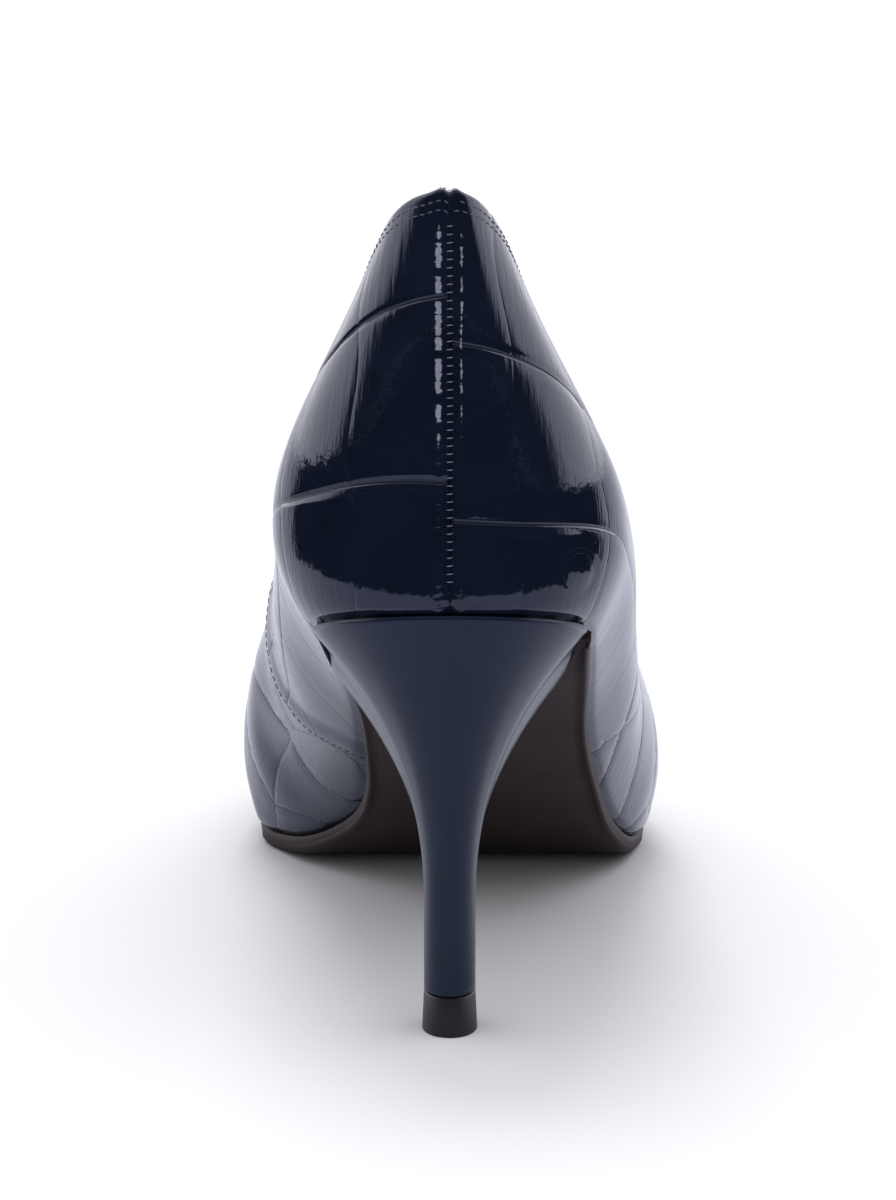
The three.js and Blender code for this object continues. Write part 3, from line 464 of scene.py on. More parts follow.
def patent_leather():
    """Calfskin under a thick clear lacquer: near black navy, with mirror-like reflections that the grain
    beneath only just disturbs."""
    if "patent leather" in bpy.data.materials:
        return bpy.data.materials["patent leather"]
    material, tree, shader = start_material("patent leather", Roughness=0.06, Specular_Tint=linear("#dfe6ff"))
    place = add_node(tree, "TexCoord")
    position = place.outputs["Object"]
    tint = add_node(tree, "TexNoise", {"Vector": position, "Scale": 1 / (9 * MM), "Detail": 3.0})
    shades = {"Factor": tint.outputs["Fac"], "A": linear("#0c121e"), "B": linear("#151d2e")}
    colour = add_node(tree, "Mix", shades, data_type="RGBA")
    scales = add_node(tree, "UVMap", uv_map="scales")
    parts = add_node(tree, "SeparateXYZ", {0: scales.outputs["UV"]})
    fine = []
    borders = (("column", parts.outputs[0], SCALE_WIDTH), ("row", parts.outputs[1], SCALE_HEIGHT))
    for key, value, size in borders:
        near = add_node(tree, "Math", {0: value, 1: 0.5}, operation="PINGPONG")
        far = add_node(tree, "Math", {0: near.outputs[0], 1: size}, operation="MULTIPLY")
        fine.append((key, far.outputs[0]))
    fine.append(("cell", scale_cells(tree, position)))
    # The grooves drawn 0.5 mm wide in the bottom of the modelled ones.
    deepest = None
    for key, distance in fine:
        strength = add_node(tree, "Attribute", attribute_name=key)
        narrow = add_node(tree, "MapRange", {0: distance, 1: 0.0, 2: 0.5, 3: 1.0, 4: 0.0},
                          interpolation_type="SMOOTHERSTEP")
        part = {0: narrow.outputs[0], 1: strength.outputs["Fac"]}
        part = add_node(tree, "Math", part, operation="MULTIPLY")
        if deepest is None:
            deepest = part
        else:
            deepest = add_node(tree, "Math", {0: deepest.outputs[0], 1: part.outputs[0]}, operation="MAXIMUM")
    pattern = add_node(tree, "UVMap", uv_map="pattern")
    middle_u, middle_v, half_u, half_v = SMALL_SCALE
    oval = add_node(tree, "VectorMath", {0: pattern.outputs["UV"], 1: (-middle_u, -middle_v, 0.0)})
    oval = add_node(tree, "VectorMath", {0: oval.outputs[0], 1: (1 / half_u, 1 / half_v, 0.0)},
                    operation="MULTIPLY")
    oval = add_node(tree, "VectorMath", {0: oval.outputs[0]}, operation="LENGTH")
    oval = add_node(tree, "Math", {0: oval.outputs["Value"], 1: 1.0, 2: 0.13}, operation="COMPARE")
    oval = add_node(tree, "Math", {0: oval.outputs[0], 1: 0.5}, operation="MULTIPLY")
    deepest = add_node(tree, "Math", {0: deepest.outputs[0], 1: oval.outputs[0]}, operation="MAXIMUM")
    # Creases that run up the leather, in bundles some 24 mm apart.
    stretched = add_node(tree, "VectorMath", {0: pattern.outputs["UV"], 1: (0.9, 0.07, 1.0)},
                         operation="MULTIPLY")
    crease = add_node(tree, "TexNoise", {"Vector": stretched.outputs[0], "Scale": 1.0, "Detail": 4.0})
    patches = add_node(tree, "TexNoise", {"Vector": position, "Scale": 1 / (24 * MM), "Detail": 1.0})
    where = add_node(tree, "MapRange", {0: patches.outputs["Fac"], 1: 0.45, 2: 0.7, 3: 0.0, 4: 1.0})
    bundle = add_node(tree, "Math", {0: crease.outputs["Fac"], 1: where.outputs[0]}, operation="MULTIPLY")
    # Finer pull lines, the peel of the lacquer at 1.6 mm, and a slow waviness at 7 mm.
    pulled = add_node(tree, "VectorMath", {0: pattern.outputs["UV"], 1: (1.5, 0.2, 1.0)},
                      operation="MULTIPLY")
    strain = add_node(tree, "TexNoise", {"Vector": pulled.outputs[0], "Scale": 1.0, "Detail": 3.0})
    peel = add_node(tree, "TexNoise", {"Vector": position, "Scale": 1 / (1.6 * MM), "Detail": 2.0})
    wave = add_node(tree, "TexNoise", {"Vector": position, "Scale": 1 / (7 * MM), "Detail": 1.0})
    # The crest of the ridges beside the back seam: ragged, broken into lumps, fading at both ends. Bump
    # raises it, and a pale highlight is painted on it.
    across = add_node(tree, "SeparateXYZ", {0: pattern.outputs["UV"]})
    away = add_node(tree, "Math", {0: across.outputs[0]}, operation="ABSOLUTE")
    off = add_node(tree, "Math", {0: away.outputs[0], 1: RIDGE_AT}, operation="SUBTRACT")
    off = add_node(tree, "Math", {0: off.outputs[0]}, operation="ABSOLUTE")
    ragged = add_node(tree, "TexNoise", {"Vector": pattern.outputs["UV"], "Scale": 1.3, "Detail": 3.0})
    ragged = add_node(tree, "Math", {0: ragged.outputs["Fac"], 1: 0.9, 2: -0.45}, operation="MULTIPLY_ADD")
    reach = add_node(tree, "MapRange", {0: across.outputs[0], 1: -0.1, 2: 0.1, 3: 0.62, 4: 0.26})
    crest = add_node(tree, "Math", {0: reach.outputs[0], 1: off.outputs[0]}, operation="SUBTRACT")
    crest = add_node(tree, "Math", {0: crest.outputs[0], 1: ragged.outputs[0]})
    crest = add_node(tree, "Math", {0: crest.outputs[0], 1: 0.0}, operation="MAXIMUM")
    rise = add_node(tree, "MapRange", {0: across.outputs[1], 1: 30.0, 2: 42.0, 3: 0.15, 4: 1.0})
    ends = add_node(tree, "MapRange", {0: across.outputs[1], 1: 64.0, 2: 69.0, 3: 1.0, 4: 0.0})
    along = add_node(tree, "CombineXYZ", {1: across.outputs[1]})
    lumps = add_node(tree, "TexNoise", {"Vector": along.outputs[0], "Scale": 0.42, "Detail": 2.0})
    puffs = add_node(tree, "MapRange", {0: lumps.outputs["Fac"], 1: 0.43, 2: 0.5, 3: 0.0, 4: 1.0})
    seam = crest
    for factor in (rise, ends, puffs):
        seam = add_node(tree, "Math", {0: seam.outputs[0], 1: factor.outputs[0]}, operation="MULTIPLY")
    # There a pale highlight is painted into the colour, and the lacquer is made rougher.
    painted_highlight = add_node(tree, "MapRange", {0: seam.outputs[0], 1: 0.1, 2: 0.2, 3: 0.0, 4: 1.0},
                      interpolation_type="SMOOTHSTEP")
    dull = add_node(tree, "Mix", {"Factor": painted_highlight.outputs[0], "A": 0.06, "B": 0.35})
    tree.links.new(dull.outputs["Result"], shader.inputs["Roughness"])
    # Painted highlight: pale grey-blue mixed into the base colour along the crest.
    shades = {"Factor": painted_highlight.outputs[0], "A": colour.outputs["Result"], "B": linear("#8a8e9d")}
    highlight_painted = add_node(tree, "Mix", shades, data_type="RGBA")
    tree.links.new(highlight_painted.outputs["Result"], shader.inputs["Base Color"])
    relief = (
        (seam.outputs[0], 0.5),
        (deepest.outputs[0], -0.16),
        (bundle.outputs[0], 0.12),
        (peel.outputs["Fac"], 0.022),
        (strain.outputs["Fac"], 0.05),
        (wave.outputs["Fac"], 0.05),
    )
    height = None
    for value, size in relief:
        part = add_node(tree, "Math", {0: value, 1: size}, operation="MULTIPLY")
        if height is not None:
            part = add_node(tree, "Math", {0: height.outputs[0], 1: part.outputs[0]})
        height = part
    bump = add_node(tree, "Bump", {"Height": height.outputs[0], "Distance": MM, "Strength": 1.0})
    tree.links.new(bump.outputs[0], shader.inputs["Normal"])
    return material


stitch_rows = {"topline": [], "arch": []}
surfaces = []
for node, bm in sheets.items():
    bm.verts.ensure_lookup_table()
    runs = named_runs(bm)
    top = runs["top"]
    # The topline is lowered to leave room for its fold, and more where it would rise to a peak at the back.
    set_directions(top)
    distance, nearest = near_run(top, [v.co for v in bm.verts])
    for v, far, k in zip(bm.verts, distance, nearest):
        if far < TOP_BLEND:
            peak = PEAK_DROP * math.exp(-((v.co.x / MM / PEAK_WIDTH) ** 2)) if v.co.y < 0 else 0.0
            share = float(1 - smoothstep(0, TOP_BLEND, far))
            v.co -= directions[top[k]][0] * ((FOLD_DROP + peak) * MM * share)
    # In the arch the quarter is lifted over the vamp, and its edge is carried on and down onto it.
    if node == "medial_quarter":
        arch = runs["arch"]
        distance, _ = near_run(arch, [v.co for v in bm.verts])
        for v, far in zip(bm.verts, distance):
            v.co += v.normal * (LAP_RISE * MM * float(1 - smoothstep(0, LAP_BLEND, far)))
    bm.normal_update()
    if node == "medial_quarter":
        set_directions(arch)
        lap_edge = extrude_run(bm, arch, moves_of(LAP))
        bm.normal_update()
        stitch_rows["arch"].append(steps_down(lap_edge, (ARCH_ROW,))[ARCH_ROW])
        bm.verts.ensure_lookup_table()
        runs = named_runs(bm)
        top = runs["top"]
    surfaces.append(BVHTree.FromBMesh(bm))
    stitch_rows["topline"].append(steps_down(top, TOPLINE_ROWS))
    # Both pieces meet in the middle of the back. Then come the margin under the foot, the fold of the
    # topline over its tape, and the edges turned in at the back seam.
    back = runs["back"]
    for v in back:
        v.co.x = 0.0
    set_directions(runs["foot"])
    extrude_run(bm, runs["foot"], moves_of(FOOT_TURN))
    set_directions(top)
    turn = [k * math.pi / FOLD_STEPS for k in range(1, FOLD_STEPS + 1)]
    fold = [(FOLD_RADIUS * math.sin(a), -FOLD_RADIUS * (1 - math.cos(a))) for a in turn]
    extrude_run(bm, top, moves_of(fold + list(FOLD_FLAP)))
    bm.normal_update()
    set_directions(back)
    extrude_run(bm, back, [lambda v, a=a: directions[v][1] * (-a * MM) for a in SEAM_TURN])
    bm.normal_update()
    piece = mesh_object(bm, node + "_leather")
    wall = piece.modifiers.new("thickness", "SOLIDIFY")
    wall.thickness = LEATHER * MM
    wall.offset = -1
    dense = evaluated_mesh(piece)
    piece.modifiers.clear()
    piece.data = dense
    piece.data.shade_smooth()
    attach(piece, "root")
    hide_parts(node)
    piece.data.materials.append(patent_leather())


# ------------------------------------------------------------------ lining and sock
# The lining of the quarters and of the vamp, and the sock that covers the insole: thin tan lining leather,
# matt and undyed. The linings are stuck in and stitched at the topline, and the sock is stuck down last.
SOCK_WIDER = 1.6  # mm that the sock, cut a little full, turns up against the lining


def smooth_block(node, levels, sharp=math.radians(50), crease=1.0):
    """A subdivided copy of a CAD node, creased along its sharp edges."""
    bm = merged_copy(node)
    layer = bm.edges.layers.float.new("crease_edge")
    for edge in bm.edges:
        if edge.calc_face_angle(0) > sharp:
            edge[layer] = crease
    return subdivide_through(bm, levels, node)


def finish_piece(bm, name, node, material):
    """A smooth shaded piece that rides on the shoe and stands for a CAD node."""
    made = mesh_object(bm, name)
    made.data.shade_smooth()
    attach(made, "root")
    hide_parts(node)
    made.data.materials.append(material)
    return made


def lining_leather():
    """Lining leather: tan and matt, with a fine grain. Its cells are about 0.3 mm in real leather, and are
    drawn at 0.9 mm so that they show."""
    material, tree, shader = start_material("lining leather", Roughness=0.62)
    position = add_node(tree, "TexCoord").outputs["Object"]
    tone = add_node(tree, "TexNoise", {"Vector": position, "Scale": 1 / (14 * MM), "Detail": 4.0})
    shades = {"Factor": tone.outputs["Fac"], "A": linear("#a98b69"), "B": linear("#bfa27f")}
    colour = add_node(tree, "Mix", shades, data_type="RGBA")
    tree.links.new(colour.outputs["Result"], shader.inputs["Base Color"])
    grain = add_node(tree, "TexVoronoi", {"Vector": position, "Scale": 1 / (0.9 * MM)},
                     feature="DISTANCE_TO_EDGE")
    relief = {"Height": grain.outputs["Distance"], "Distance": 0.12 * MM, "Strength": 0.6}
    bump = add_node(tree, "Bump", relief)
    tree.links.new(bump.outputs[0], shader.inputs["Normal"])
    return material


lining = lining_leather()
for node in ("quarter_lining", "vamp_lining"):
    finish_piece(smooth_block(node, 2), node + "_leather", node, lining)
bm = smooth_block("sock_lining", 3)
outward = [(v, Vector((v.normal.x, v.normal.y, 0)) * (SOCK_WIDER * MM)) for v in bm.verts]
for v, move in outward:
    v.co += move
finish_piece(bm, "sock_lining_leather", "sock_lining", lining)


# ------------------------------------------------------------------ foam pads
# The heel cushion and the ball cushion: sheets of latex foam, cut to shape and skived thin at their edges,
# stuck to the insole under the sock.
def latex_foam():
    """Foamed latex: cream, matt, with open pores of about 0.6 mm."""
    material, tree, shader = start_material("latex foam", Roughness=0.9)
    position = add_node(tree, "TexCoord").outputs["Object"]
    tone = add_node(tree, "TexNoise", {"Vector": position, "Scale": 1 / (6 * MM), "Detail": 3.0})
    shades = {"Factor": tone.outputs["Fac"], "A": linear("#d8cba6"), "B": linear("#e6dcbd")}
    colour = add_node(tree, "Mix", shades, data_type="RGBA")
    tree.links.new(colour.outputs["Result"], shader.inputs["Base Color"])
    pores = add_node(tree, "TexVoronoi", {"Vector": position, "Scale": 1 / (0.6 * MM)})
    relief = {"Height": pores.outputs["Distance"], "Distance": 0.2 * MM, "Strength": 0.8}
    bump = add_node(tree, "Bump", relief)
    tree.links.new(bump.outputs[0], shader.inputs["Normal"])
    return material


foam = latex_foam()
for node in ("heel_cushion", "ball_cushion"):
    pad = finish_piece(smooth_block(node, 3, crease=0.45), node + "_foam", node, foam)


# ------------------------------------------------------------------ hidden parts
# What is inside the shoe keeps its shape from the frame: the stiffeners and linings between the leathers,
# the boards, the shank, the cork, and the steel that holds the heel.
def inside_material(name, dark, light, size, roughness, kind="TexNoise", depth=0.05, metal=0.0):
    """A material with a grain of size mm: its colour goes from dark to light, and its surface follows it to
    a depth in mm."""
    material, tree, shader = start_material(name, Roughness=roughness, Metallic=metal)
    position = add_node(tree, "TexCoord").outputs["Object"]
    grain = add_node(tree, kind, {"Vector": position, "Scale": 1 / (size * MM)})
    value = grain.outputs["Distance" if kind == "TexVoronoi" else "Fac"]
    colour = add_node(tree, "Mix", {"Factor": value, "A": linear(dark), "B": linear(light)}, data_type="RGBA")
    tree.links.new(colour.outputs["Result"], shader.inputs["Base Color"])
    bump = add_node(tree, "Bump", {"Height": value, "Distance": depth * MM, "Strength": 0.6})
    tree.links.new(bump.outputs[0], shader.inputs["Normal"])
    return material


# Cloth soaked in thermoplastic resin and formed with heat: off-white and slightly mottled.
stiffener = inside_material("impregnated stiffener sheet", "#c9c2b2", "#ddd7c9", 1.2, 0.8)
# Woven cotton: pale, with fine slanting ribs.
twill = inside_material("cotton twill", "#b9b3a6", "#d8d3c8", 0.5, 0.95, "TexWave", 0.08)
# Pressed wood fibre: brown and dull, with cloudy patches.
board = inside_material("cellulose board", "#8d6f4e", "#a98a66", 2.0, 0.9)
# Ground cork in latex: light crumbs of about 1.6 mm with dark glue between them.
cork = inside_material("cork and latex filler", "#6a4628", "#b98a57", 1.6, 0.95, "TexVoronoi", 0.2)
# Rolled and tempered steel: grey metal with a soft shine.
steel = inside_material("tempered spring steel", "#7d7f82", "#a3a5a8", 3.0, 0.35, depth=0.01, metal=1.0)
finishes = {
    stiffener: ("heel_counter", "toe_puff"),
    twill: ("medial_interlining", "lateral_interlining", "topline_tape"),
    board: ("insole_board", "backpart_board"),
    cork: ("bottom_filler",),
    steel: ("steel_shank", "rear_shank_rivet", "front_shank_rivet", "heel_tube", "top_piece_pin",
            "heel_screw", "heel_nail_1", "heel_nail_2", "heel_nail_3", "heel_nail_4"),
}
for material, nodes in finishes.items():
    for node in nodes:
        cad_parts[node].material_slots[0].material = material


# ------------------------------------------------------------------ outsole
# The sole: firm bark tanned cowhide, stained dark brown, cemented to the lasted upper. Its edge is trimmed
# close and rasped back underneath, and its rear end is tucked between the heel and the upper.
EDGE_IN = 1.2  # mm that the trimmed edge stands inside the last's widest line
FOOT_IN = 3.0  # and its lower corner, which is rasped back under
TOP_UP = 1.0  # mm that the sole is drawn up against the upper
SOLE_CUTS = 5  # across its width, so that it subdivides evenly
TUCK_LENGTH = 12.0  # mm of its rear end, which is drawn back and up between the heel and the leather
TUCK_BACK = 10.5
TUCK_UP = 6.5


def sole_leather():
    """Cowhide tanned with bark and stained: dark brown, dull, with cut fibres of about 0.7 mm."""
    name = "bark tanned sole leather"
    material, tree, shader = start_material(name, Roughness=0.6, Specular_IOR_Level=0.25)
    position = add_node(tree, "TexCoord").outputs["Object"]
    tone = add_node(tree, "TexNoise", {"Vector": position, "Scale": 1 / (11 * MM), "Detail": 5.0})
    shades = {"Factor": tone.outputs["Fac"], "A": linear("#241a1a"), "B": linear("#362928")}
    colour = add_node(tree, "Mix", shades, data_type="RGBA")
    tree.links.new(colour.outputs["Result"], shader.inputs["Base Color"])
    fibre = add_node(tree, "TexNoise", {"Vector": position, "Scale": 1 / (0.7 * MM), "Detail": 4.0})
    bump = add_node(tree, "Bump", {"Height": fibre.outputs["Fac"], "Distance": 0.05 * MM, "Strength": 0.7})
    tree.links.new(bump.outputs[0], shader.inputs["Normal"])
    return material


sole_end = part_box("outsole")[0].y / MM
bm = merged_copy("outsole")
crossing = []
for edge in bm.edges:
    span = edge.verts[0].co - edge.verts[1].co
    if span.length > 12 * MM and abs(span.normalized().x) > 0.8:
        crossing.append(edge)
bmesh.ops.subdivide_edges(bm, edges=crossing, cuts=SOLE_CUTS, use_grid_fill=True)
layer = bm.edges.layers.float.new("crease_edge")
for edge in bm.edges:
    if edge.calc_face_angle(0) > math.radians(50):
        edge[layer] = 0.9
bm = subdivide_through(bm, 2, "outsole")
moves = []
for v in bm.verts:
    inward = EDGE_IN + FOOT_IN * max(-v.normal.z, 0)
    moves.append((v, Vector((-inward * v.normal.x, -inward * v.normal.y, TOP_UP * max(v.normal.z, 0)))))
for v, move in moves:
    v.co += move * MM
    v.co.z = max(v.co.z, 0.0)
    tucked = float(1 - smoothstep(sole_end, sole_end + TUCK_LENGTH, v.co.y / MM))
    v.co += Vector((0, -TUCK_BACK, TUCK_UP)) * (MM * tucked)
finish_piece(bm, "outsole_leather", "outsole", sole_leather())


# ------------------------------------------------------------------ heel
# The slim heel is moulded in ABS round a steel tube and sprayed to match the upper. It is screwed and
# nailed on from inside. The top piece is polyurethane, moulded on a steel pin that is driven into the tube.
SEAT_UP = 0.5  # mm that the seat is pulled up against the upper
SEAT_FLARE = 0.05  # share of its width by which the sprayed seat spreads towards its rim
SEAT_FROM = (50, 70)  # mm above the floor
TIP_ROUND = 0.3  # mm, of the top piece's edges


def heel_lacquer():
    """Satin lacquer on ABS: navy, with a soft shine. The spray's grain is finer than the 0.5 mm drawn."""
    name = "satin lacquer on moulded heel"
    material, tree, shader = start_material(name, Roughness=0.25, Specular_IOR_Level=0.2)
    position = add_node(tree, "TexCoord").outputs["Object"]
    tone = add_node(tree, "TexNoise", {"Vector": position, "Scale": 1 / (20 * MM), "Detail": 2.0})
    shades = {"Factor": tone.outputs["Fac"], "A": linear("#161f33"), "B": linear("#1b253a")}
    colour = add_node(tree, "Mix", shades, data_type="RGBA")
    tree.links.new(colour.outputs["Result"], shader.inputs["Base Color"])
    spray = add_node(tree, "TexNoise", {"Vector": position, "Scale": 1 / (0.5 * MM), "Detail": 2.0})
    bump = add_node(tree, "Bump", {"Height": spray.outputs["Fac"], "Distance": 0.01 * MM, "Strength": 1.0})
    tree.links.new(bump.outputs[0], shader.inputs["Normal"])
    return material


bm = merged_copy("heel_block")
keep_side(bm, Vector((0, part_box("heel_block")[0].y, 0.07)), math.radians(80))
layer = bm.edges.layers.float.new("crease_edge")
for edge in bm.edges:
    if len(edge.link_faces) == 2 and edge.calc_face_angle(0) > math.radians(40):
        edge[layer] = 0.8
bm = subdivide_through(bm, 2, "heel")
for v in bm.verts:
    near_seat = float(smoothstep(*SEAT_FROM, v.co.z / MM))
    v.co.x *= 1 + SEAT_FLARE * near_seat
    v.co.z += SEAT_UP * MM * near_seat
bmesh.ops.holes_fill(bm, edges=[e for e in bm.edges if e.is_boundary])
bm.normal_update()
finish_piece(bm, "heel_lacquered", "heel_block", heel_lacquer())


def tip_plastic():
    """Polyurethane moulded in a blasted tool: black and matt. Its texture is finer than the 0.4 mm drawn."""
    material, tree, shader = start_material("moulded polyurethane", Roughness=0.45)
    shader.inputs["Base Color"].default_value = linear("#0c0c0e")
    position = add_node(tree, "TexCoord").outputs["Object"]
    matt = add_node(tree, "TexNoise", {"Vector": position, "Scale": 1 / (0.4 * MM), "Detail": 2.0})
    bump = add_node(tree, "Bump", {"Height": matt.outputs["Fac"], "Distance": 0.02 * MM, "Strength": 1.0})
    tree.links.new(bump.outputs[0], shader.inputs["Normal"])
    return material


bm = merged_copy("top_piece")
rims = [e for e in bm.edges if e.calc_face_angle(0) > math.radians(60)]
bmesh.ops.bevel(bm, geom=rims, offset=TIP_ROUND * MM, segments=3, profile=0.5, affect="EDGES", material=-1)
finish_piece(bm, "top_piece_moulded", "top_piece", tip_plastic())


# ------------------------------------------------------------------ stitching
# Two rows of machine stitches below the topline, one row on the lap in the arch, and the short bars of
# thread that draw the leather together down the back. Twisted polyester thread, sewn before lasting.
TOPLINE_STITCH = (1.45, 0.5, 0.14)  # mm: the pitch, the gap between two stitches, and the thread's radius
ARCH_STITCH = (1.7, 0.35, 0.11)
BAR_REACH = 0.55  # mm to each side of the back seam
BAR_PROUD = 0.16  # mm that the bars stand out
BAR_SLANT = 0.12  # mm that the outer end is higher
BAR_RADIUS = 0.11


def waxed_thread(name, colour):
    """Twisted, waxed polyester: a soft shine, with its turns at 0.5 mm."""
    material, tree, shader = start_material(name, Roughness=0.4)
    shader.inputs["Base Color"].default_value = linear(colour)
    position = add_node(tree, "TexCoord").outputs["Object"]
    twist = add_node(tree, "TexWave", {"Vector": position, "Scale": 1 / (0.5 * MM)})
    bump = add_node(tree, "Bump", {"Height": twist.outputs["Fac"], "Distance": 0.04 * MM, "Strength": 1.0})
    tree.links.new(bump.outputs[0], shader.inputs["Normal"])
    return material


def lay_stitch(bm, start, end, outward, radius):
    """One stitch, as a grain-shaped bead from start to end."""
    along = end - start
    across = outward.cross(along).normalized()
    up = along.cross(across).normalized()
    turn = Matrix((across, up, along.normalized())).transposed().to_4x4()
    size = Matrix.Diagonal((radius, radius, along.length / 2, 1))
    place = Matrix.Translation((start + end) / 2 + up * (radius * 0.15))
    bmesh.ops.create_uvsphere(bm, u_segments=8, v_segments=6, radius=1, matrix=place @ turn @ size)


def sew(bm, row, pitch, gap, radius):
    """Lays stitches along a row of points with normals. Pitch, gap and radius are in mm."""
    pitch, gap, radius = pitch * MM, gap * MM, radius * MM
    lengths = [0.0]
    for (a, _), (b, _) in zip(row, row[1:]):
        lengths.append(lengths[-1] + (b - a).length)
    count = int(lengths[-1] / pitch)

    def spot(distance):
        k = min(max(int(np.searchsorted(lengths, distance)), 1), len(row) - 1)
        t = (distance - lengths[k - 1]) / (lengths[k] - lengths[k - 1])
        return row[k - 1][0].lerp(row[k][0], t), row[k][1]

    for n in range(count):
        a, normal = spot(n * pitch + gap / 2)
        b, _ = spot((n + 1) * pitch - gap / 2)
        lay_stitch(bm, a, b, normal, radius)


# Clean thread on the topline, thread down the back painted pale grey as a highlight, and thread dark with
# lacquer in the arch.
thread = waxed_thread("waxed polyester thread", "#4a5267")
# Painted highlight: the back seam's bars are given a pale grey in place of the shine on navy thread.
seam_thread = waxed_thread("worn seam thread", "#777d90")
sunk_thread = waxed_thread("lacquered thread", "#1d2434")
for node, drop in zip(("topline_stitching_upper", "topline_stitching_lower"), TOPLINE_ROWS):
    bm = bmesh.new()
    for rows in stitch_rows["topline"]:
        sew(bm, rows[drop], *TOPLINE_STITCH)
    finish_piece(bm, node + "_thread", node, thread)
bm = bmesh.new()
for row in stitch_rows["arch"]:
    sew(bm, row, *ARCH_STITCH)
finish_piece(bm, "arch_seam_thread", "arch_seam_stitching", sunk_thread)

bm = bmesh.new()
low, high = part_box("back_seam_stitching")
backward = Vector((0, -1, 0))
proud = backward * (BAR_PROUD * MM)
slant = Vector((0, 0, BAR_SLANT * MM))
for k in range(int((high.z - low.z) / (SEAM_PITCH * MM))):
    ends = []
    for x in (-BAR_REACH, BAR_REACH):
        behind = Vector((x * MM, -0.1, low.z + k * SEAM_PITCH * MM))
        found = [surface.ray_cast(behind, -backward)[0] for surface in surfaces]
        found = [point for point in found if point is not None]
        if found:
            ends.append(min(found, key=lambda point: point.y))
    if len(ends) == 2:
        lay_stitch(bm, ends[0] + proud, ends[1] + proud + slant, backward, BAR_RADIUS * MM)
finish_piece(bm, "back_seam_thread", "back_seam_stitching", seam_thread)


# ------------------------------------------------------------------ stage
# A white paper floor in an even, pale room, with one broad light overhead. The lacquer mirrors what the
# camera doesn't see: a dark ring on the floor, and a room that is dark on this side and bright beyond.
FLOOR_SIZE = 6.0  # m, from its middle to its edge
FLOOR_PALE = 0.26  # m, radius of the middle that the dark ring leaves pale
TABLE_SPREAD = math.radians(120)  # how far the dark ring reaches to each side of the camera
ROOM_SEEN = 0.93  # the room's brightness to the camera
ROOM_LOW = 0.0  # and as light on the shoe, at the horizon
ROOM_HIGH = 1.4  # and overhead

bm = bmesh.new()
bmesh.ops.create_grid(bm, x_segments=1, y_segments=1, size=FLOOR_SIZE)
floor = mesh_object(bm, "floor")
# White background paper: flat, without shine.
material, tree, shader = start_material("floor paper", Roughness=0.8, Specular_IOR_Level=0.0)
shader.inputs["Base Color"].default_value = linear("#f9f9f9")
floor.data.materials.append(material)


def only_in_reflections(made):
    """Puts an object on the stage that only mirror-like reflections show."""
    made.visible_camera = made.visible_diffuse = made.visible_shadow = False
    made.visible_transmission = False


# Matt black card, and white card with a blue cast.
material, tree, shader = start_material("black card", Roughness=0.9, Specular_IOR_Level=0.0)
shader.inputs["Base Color"].default_value = linear("#0d0e11")
bm = bmesh.new()
bmesh.ops.create_circle(bm, segments=96, radius=FLOOR_PALE)
made = bmesh.ops.extrude_edge_only(bm, edges=bm.edges[:])["geom"]
fresh = [v for v in made if isinstance(v, bmesh.types.BMVert)]
bmesh.ops.scale(bm, verts=fresh, vec=Vector((FLOOR_SIZE / FLOOR_PALE,) * 3))
away = []
for face in bm.faces:
    middle = face.calc_center_median()
    if abs(math.atan2(middle.x, -middle.y)) > TABLE_SPREAD:
        away.append(face)
bmesh.ops.delete(bm, geom=away, context="FACES")
bmesh.ops.translate(bm, verts=bm.verts, vec=(0, 0, 0.4 * MM))
card = mesh_object(bm, "dark_table")
card.data.materials.append(material)
only_in_reflections(card)

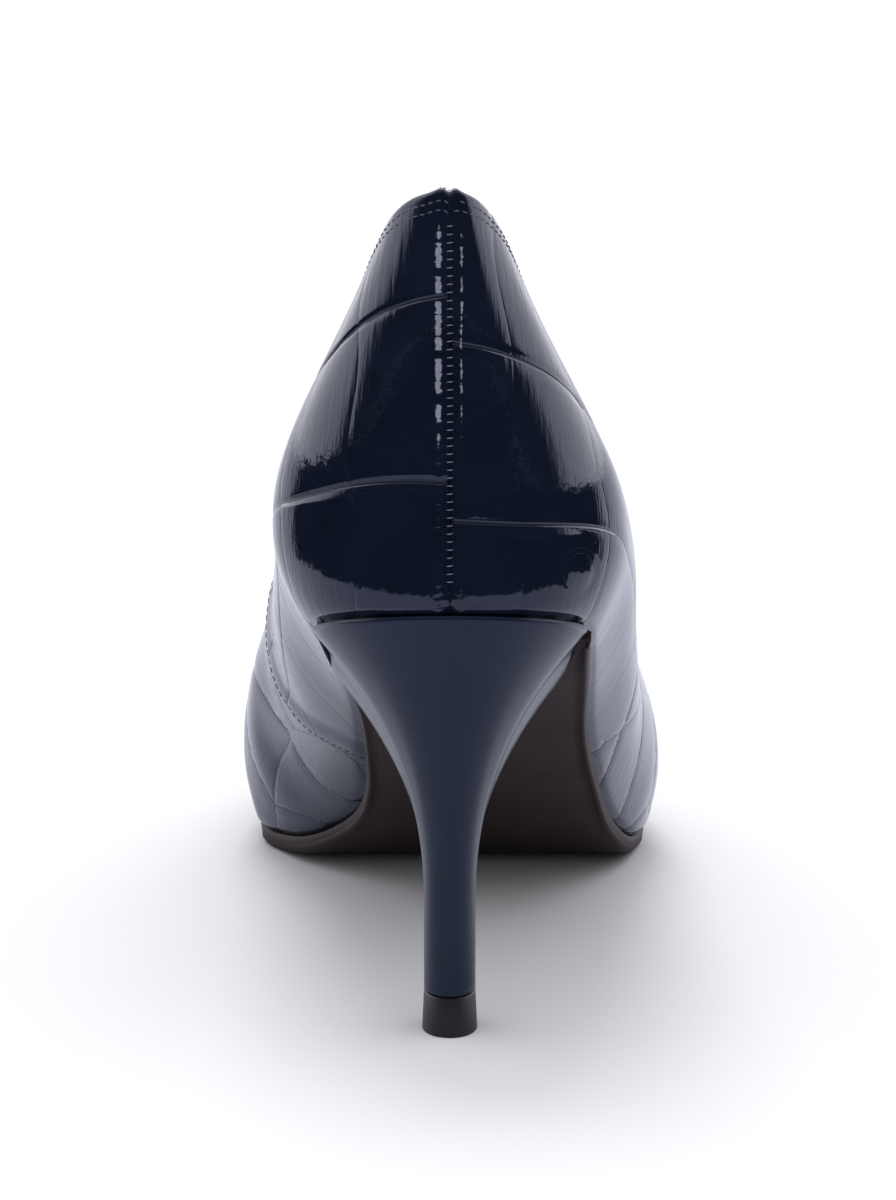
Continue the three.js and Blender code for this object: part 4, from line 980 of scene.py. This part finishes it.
material, tree, shader = start_material("blue white card", Roughness=0.9, Specular_IOR_Level=0.0)
shader.inputs["Base Color"].default_value = linear("#e6e9f3")
bm = bmesh.new()
bmesh.ops.create_grid(bm, x_segments=1, y_segments=1, size=FLOOR_SIZE)
bmesh.ops.translate(bm, verts=bm.verts, vec=(0, 0, 0.2 * MM))
pale = mesh_object(bm, "pale_table")
pale.data.materials.append(material)
only_in_reflections(pale)

world = bpy.data.worlds.new("studio")
bpy.context.scene.world = world
world.use_nodes = True
tree = world.node_tree
tree.nodes["Background"].inputs["Color"].default_value = linear("#faf9ff")
# What the lacquer mirrors: dark on the camera's side, bright beyond the shoe, and some light overhead.
direction = add_node(tree, "TexCoord")
parts = add_node(tree, "SeparateXYZ", {0: direction.outputs["Generated"]})
back = add_node(tree, "MapRange", {0: parts.outputs[1], 1: -0.22, 2: 0.1, 3: 0.03, 4: 2.2},
                interpolation_type="SMOOTHSTEP")
top = add_node(tree, "MapRange", {0: parts.outputs[2], 1: 0.55, 2: 0.75, 3: 0.0, 4: 0.6},
               interpolation_type="SMOOTHSTEP")
mirrored = add_node(tree, "Math", {0: back.outputs[0], 1: top.outputs[0]}, operation="MAXIMUM")
# What the camera sees and what lights the shoe.
ray = add_node(tree, "LightPath")
overhead = add_node(tree, "MapRange", {0: parts.outputs[2], 1: 0.0, 2: 1.0, 3: ROOM_LOW, 4: ROOM_HIGH})
room = add_node(tree, "Mix", {"Factor": ray.outputs["Is Camera Ray"], "A": overhead.outputs[0],
                              "B": ROOM_SEEN})
light = add_node(tree, "Mix", {"Factor": ray.outputs["Is Glossy Ray"], "A": room.outputs["Result"],
                               "B": mirrored.outputs[0]})
tree.links.new(light.outputs["Result"], tree.nodes["Background"].inputs["Strength"])

sun = bpy.data.lights.new("overhead", "SUN")
sun.energy = 0.95
sun.angle = math.radians(28)
sun_object = bpy.data.objects.new("overhead", sun)
sun_object.rotation_euler = (math.radians(-22), math.radians(-6), 0)
bpy.context.scene.collection.objects.link(sun_object)

camera = bpy.data.cameras.new("camera")
camera.lens = 144
camera.sensor_width = 36
camera_object = bpy.data.objects.new("camera", camera)
camera_object.location = (-0.0003, -0.8067, 0.2480)
camera_object.rotation_euler = (math.radians(78), 0, 0)
bpy.context.scene.collection.objects.link(camera_object)
bpy.context.scene.camera = camera_object
bpy.context.scene.view_settings.view_transform = "Standard"
